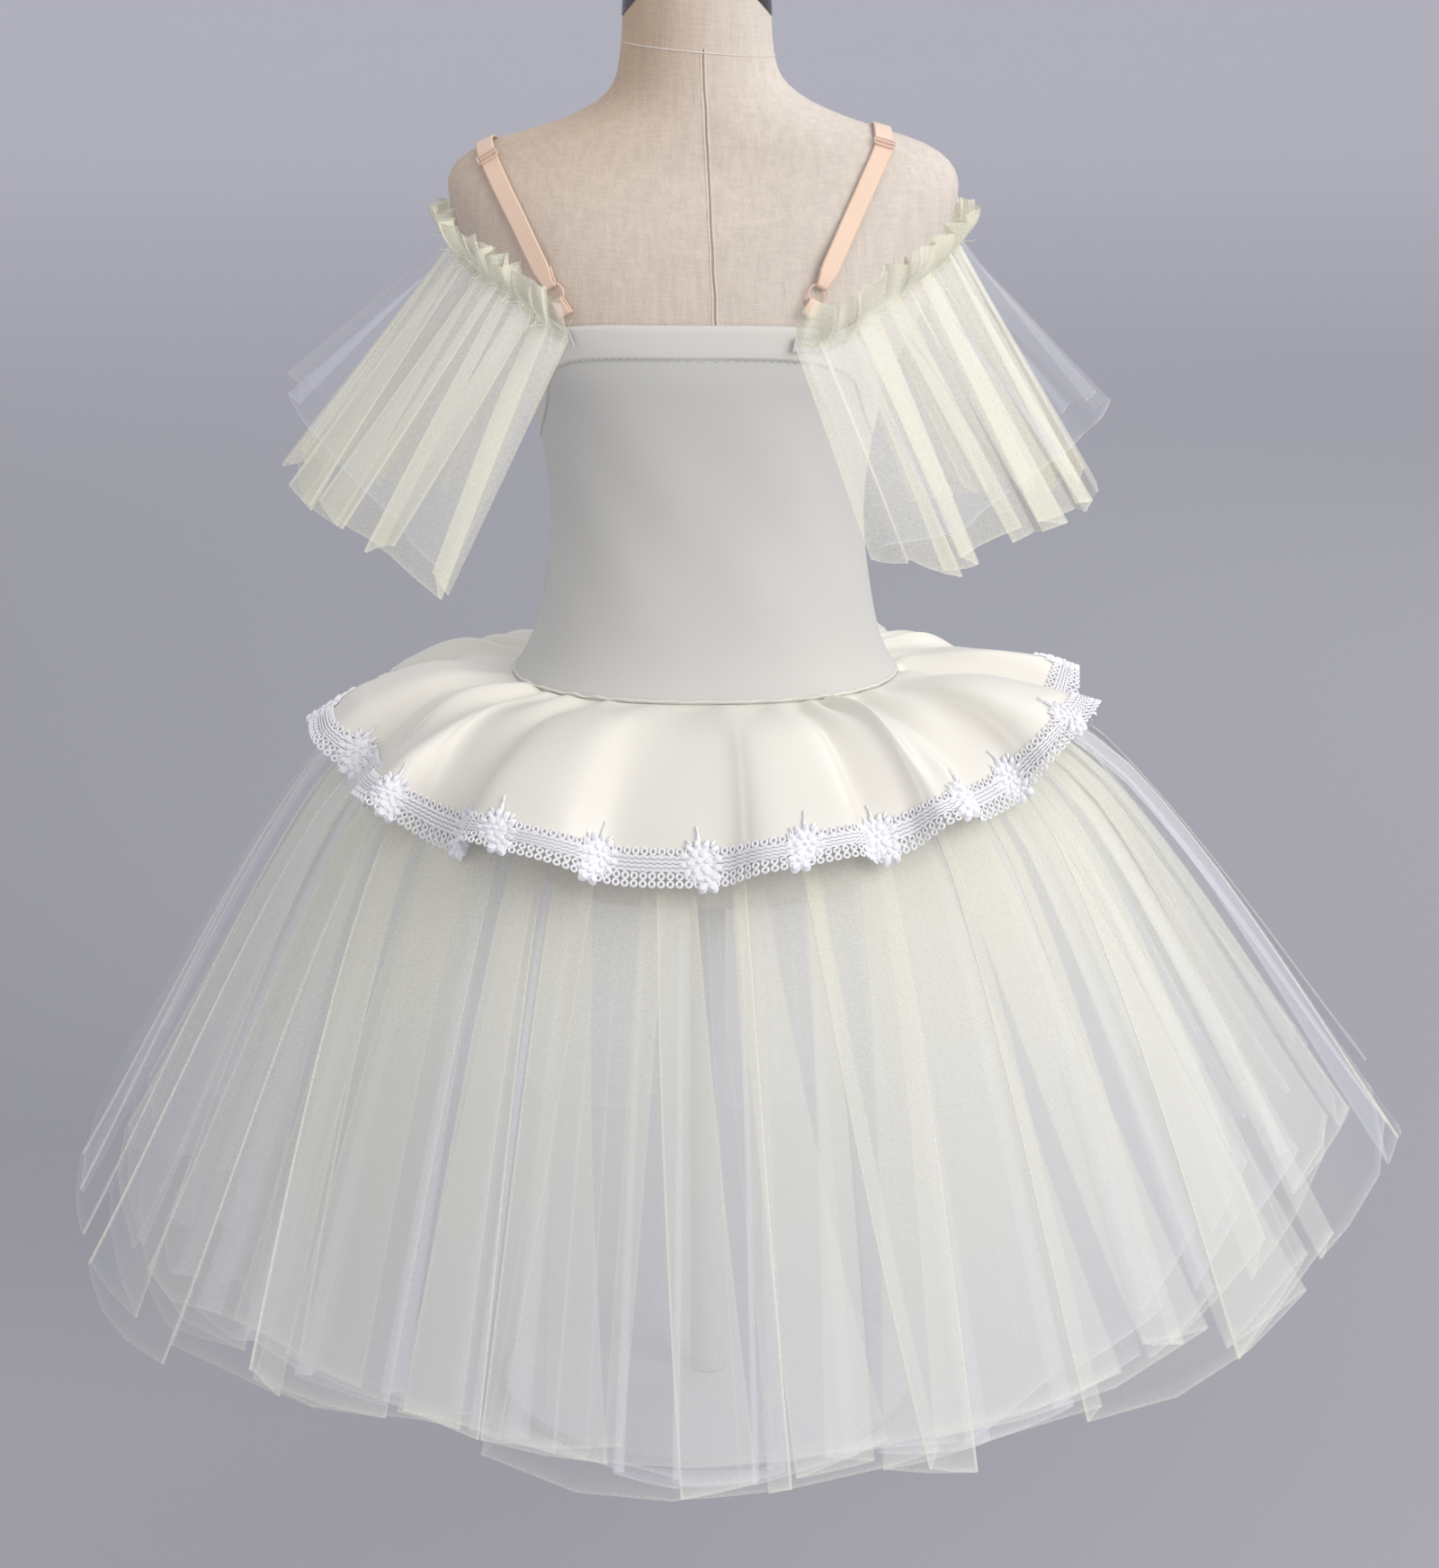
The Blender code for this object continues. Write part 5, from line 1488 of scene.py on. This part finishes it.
def add_lamp(row, power):
    lamp = bpy.data.lights.new(row.name, "AREA")
    lamp.shape = "DISK"
    lamp.size = row.size
    lamp.energy = power * row.power
    lamp.color = row.colour
    made = add_object(row.name, lamp)
    made.location = row.place
    made.visible_camera = False
    made.rotation_euler = (Vector(LAMP_TARGET) - Vector(row.place)).to_track_quat("-Z", "Y").to_euler()


def add_sweep(near_colour, far_colour):
    """Paper that runs over the floor and bends up to a wall, and changes its colour on the way."""
    body = bmesh.new()
    bmesh.ops.create_grid(body, x_segments=2, y_segments=60, size=0.5)
    arc = SWEEP.bend * math.pi / 2
    far = body.verts.layers.float.new("far")
    for v in body.verts:
        along = (0.5 - v.co.y) * (SWEEP.reach + arc + SWEEP.wall)
        turn = min(max((along - SWEEP.reach) / SWEEP.bend, 0.0), math.pi / 2)
        y = SWEEP.near - min(along, SWEEP.reach) - SWEEP.bend * math.sin(turn)
        z = SWEEP.bend * (1 - math.cos(turn)) + max(along - SWEEP.reach - arc, 0.0)
        v.co = (v.co.x * SWEEP.width, y, z)
        v[far] = smooth_step((SWEEP.grey_from - y) / SWEEP.grey_over)
    bmesh.ops.recalc_face_normals(body, faces=body.faces)
    mesh = bpy.data.meshes.new("floor_sweep")
    body.to_mesh(mesh)
    body.free()
    mesh.shade_smooth()
    finish = Finish("floor_paper", near_colour, 0.95)
    finish.set(finish.shader, {"Base Color": finish.mix(finish.value("far"), near_colour, far_colour)})
    mesh.materials.append(finish.made)
    sweep = add_object("floor_sweep", mesh)


def build_stage():
    scene = bpy.context.scene
    stage = scene.tutu_stage
    add_sweep(stage.floor_colour, stage.far_colour)
    camera = bpy.data.cameras.new("camera")
    camera.sensor_width = 36.0
    camera.lens = stage.lens
    holder = add_object("camera", camera)
    holder.location = (-0.0075, stage.camera_distance, SEAM_HEIGHT + stage.camera_height)
    holder.rotation_euler = (math.pi / 2 - stage.camera_tilt, 0.0, math.pi)
    scene.camera = holder
    for row in LAMPS:
        add_lamp(row, stage.light_power)
    world = bpy.data.worlds.new("studio")
    world.use_nodes = True
    world.node_tree.nodes["Background"].inputs["Color"].default_value = SKY
    world.node_tree.nodes["Background"].inputs["Strength"].default_value = stage.ambient
    scene.world = world
    scene.view_settings.view_transform = "Standard"
    scene.cycles.transparent_max_bounces = 32
    scene.cycles.max_bounces = 5
    scene.cycles.diffuse_bounces = 3


# Panel, settings and operators


def size_setting(name, description, default, low, high):
    return FloatProperty(
        name=name, description=description, default=default, min=low, max=high, unit="LENGTH", precision=4
    )


def share_setting(name, description, default, high=1.0):
    return FloatProperty(name=name, description=description, default=default, min=0.0, max=high)


def colour_setting(name, description, default):
    return FloatVectorProperty(
        name=name, description=description, default=default, size=3, min=0.0, max=1.0, subtype="COLOR"
    )


class TutuLook(PropertyGroup):
    """Sizes and colours of the dress and the form."""

    fold_depth: size_setting("Fold depth", "How far a skirt's fold stands from its middle", 0.0085, 0.0, 0.02)
    crowding: share_setting("Crowding", "How much denser net looks where it is gathered", 0.75)
    cream_density: share_setting("Cream net density", "How much one layer of cream net covers", 0.22)
    white_density: share_setting("White net density", "How much one layer of white net covers", 0.165)
    crease_density: share_setting("Crease density", "How much a folded or cut edge of net adds", 0.55)
    knit: colour_setting("Knit", "Colour of the bodice", (0.62, 0.615, 0.58))
    band: colour_setting("Top band", "Colour of the band along the bodice's top edge", (0.72, 0.705, 0.65))
    stitch: colour_setting("Stitches", "Colour of the bodice's stitches", (0.60, 0.595, 0.56))
    satin: colour_setting("Satin", "Colour of the peplum", (0.84, 0.81, 0.73))
    lace: colour_setting("Lace", "Colour of the lace", (0.93, 0.93, 0.955))
    cream_net: colour_setting("Cream net", "Colour of the cream net", (0.765, 0.75, 0.595))
    sleeve_net: colour_setting("Sleeve net", "Colour of the sleeves' cream net", (0.87, 0.85, 0.69))
    # Painted highlight: the lighter cream mixed into net along its creases and cut edges.
    cream_highlight: colour_setting("Cream net crease", "Colour of a crease in cream net", (0.95, 0.94, 0.79))
    white_net: colour_setting("White net", "Colour of the white net", (0.77, 0.78, 0.85))
    # Painted highlight: the lighter white mixed into net along its creases and cut edges.
    white_highlight: colour_setting("White net crease", "Colour of a crease in white net", (0.95, 0.96, 1.0))
    linen: colour_setting("Linen", "Colour of the form's cover", (0.75, 0.67, 0.59))
    # Painted shade: the warm tan painted on the cover's side away from the key light.
    tan: colour_setting("Tan linen", "Colour of the cover where it has gone tan", (0.66, 0.50, 0.36))
    seam: colour_setting("Form seam", "Colour of the seam down the form's back", (0.40, 0.28, 0.21))
    cap: colour_setting("Neck cap", "Colour of the neck's cap", (0.012, 0.012, 0.013))
    elastic: colour_setting("Elastic", "Colour of the straps", (0.90, 0.66, 0.50))
    fitting: colour_setting("Fittings", "Colour of rings and sliders", (0.80, 0.58, 0.48))
    stand: colour_setting("Stand", "Colour of the pole and base", (0.40, 0.397, 0.435))


class TutuStage(PropertyGroup):
    """Camera, light and floor."""

    camera_distance: size_setting("Camera distance", "From the form's axis to the camera", 2.0, 0.5, 10.0)
    camera_height: size_setting("Camera height", "Of the camera above the waist seam", 0.48, -1.0, 4.0)
    camera_tilt: FloatProperty(
        name="Camera tilt", description="How far the camera looks down", default=math.radians(15.5),
        unit="ROTATION",
    )
    lens: FloatProperty(
        name="Lens", description="Focal length", default=77.9, min=10.0, max=300.0, unit="CAMERA"
    )
    light_power: FloatProperty(
        name="Light", description="Power of the key light", default=66.0, min=0.0, unit="POWER"
    )
    ambient: share_setting("Ambient light", "Strength of the light from all round", 0.64, 5.0)
    floor_colour: colour_setting("Floor", "Colour of the floor near the form", (0.385, 0.382, 0.418))
    far_colour: colour_setting("Backdrop", "Colour of the backdrop", (0.74, 0.735, 0.79))


class TUTU_OT_form(Operator):
    """Adds the linen form, its seam and its cap"""

    bl_idname = "tutu.form"
    bl_label = "Form"

    def execute(self, context):
        build_torso()
        build_back_seam()
        build_cap()
        return {"FINISHED"}


class TUTU_OT_stand(Operator):
    """Adds the stand's pole and base"""

    bl_idname = "tutu.stand"
    bl_label = "Stand"

    def execute(self, context):
        build_stand()
        return {"FINISHED"}


class TUTU_OT_bodice(Operator):
    """Adds the bodice, its seams and its top band"""

    bl_idname = "tutu.bodice"
    bl_label = "Bodice"

    def execute(self, context):
        build_bodice()
        return {"FINISHED"}


class TUTU_OT_peplum(Operator):
    """Adds the satin peplum"""

    bl_idname = "tutu.peplum"
    bl_label = "Peplum"

    def execute(self, context):
        build_peplum()
        return {"FINISHED"}


class TUTU_OT_lace(Operator):
    """Adds the lace along the peplum's edge"""

    bl_idname = "tutu.lace"
    bl_label = "Lace"

    def execute(self, context):
        build_lace()
        return {"FINISHED"}


class TUTU_OT_skirt(Operator):
    """Adds the plies of net"""

    bl_idname = "tutu.skirt"
    bl_label = "Skirt"

    def execute(self, context):
        net_finish("cream_net", look().cream_net, look().cream_highlight, look().white_net)
        net_finish("white_net", look().white_net, look().white_highlight, look().white_net)
        build_skirt()
        return {"FINISHED"}


class TUTU_OT_sleeves(Operator):
    """Adds the flounces of both sleeves"""

    bl_idname = "tutu.sleeves"
    bl_label = "Sleeves"

    def execute(self, context):
        build_sleeves()
        return {"FINISHED"}


class TUTU_OT_straps(Operator):
    """Adds the straps with their rings, tabs and sliders"""

    bl_idname = "tutu.straps"
    bl_label = "Straps"

    def execute(self, context):
        elastic_finish()
        coated_finish("rose_fitting", look().fitting, 0.22, 0.5)
        for strap in STRAPS:
            build_strap(strap)
        return {"FINISHED"}


class TUTU_OT_stage(Operator):
    """Adds the floor, the lights and the camera"""

    bl_idname = "tutu.stage"
    bl_label = "Stage"

    def execute(self, context):
        build_stage()
        return {"FINISHED"}


STEPS = (
    TUTU_OT_form,
    TUTU_OT_stand,
    TUTU_OT_bodice,
    TUTU_OT_peplum,
    TUTU_OT_lace,
    TUTU_OT_skirt,
    TUTU_OT_sleeves,
    TUTU_OT_straps,
    TUTU_OT_stage,
)


class TUTU_PT_panel(Panel):
    """Lists the steps that build the dress"""

    bl_idname = "TUTU_PT_panel"
    bl_label = "Ballet tutu"
    bl_space_type = "VIEW_3D"
    bl_region_type = "UI"
    bl_category = "Tutu"

    def draw(self, context):
        for step in STEPS:
            self.layout.operator(step.bl_idname)
        for settings in (context.scene.tutu_look, context.scene.tutu_stage):
            for name in settings.__annotations__:
                self.layout.prop(settings, name)


CLASSES = (TutuLook, TutuStage, *STEPS, TUTU_PT_panel)


def register():
    for cls in CLASSES:
        bpy.utils.register_class(cls)
    bpy.types.Scene.tutu_look = PointerProperty(type=TutuLook)
    bpy.types.Scene.tutu_stage = PointerProperty(type=TutuStage)


def unregister():
    del bpy.types.Scene.tutu_stage
    del bpy.types.Scene.tutu_look
    for cls in reversed(CLASSES):
        bpy.utils.unregister_class(cls)


def main():
    register()
    bpy.ops.tutu.form()
    bpy.ops.tutu.stand()
    bpy.ops.tutu.bodice()
    bpy.ops.tutu.peplum()
    bpy.ops.tutu.lace()
    bpy.ops.tutu.skirt()
    bpy.ops.tutu.sleeves()
    bpy.ops.tutu.straps()
    bpy.ops.tutu.stage()


if __name__ == "__main__":
    main()
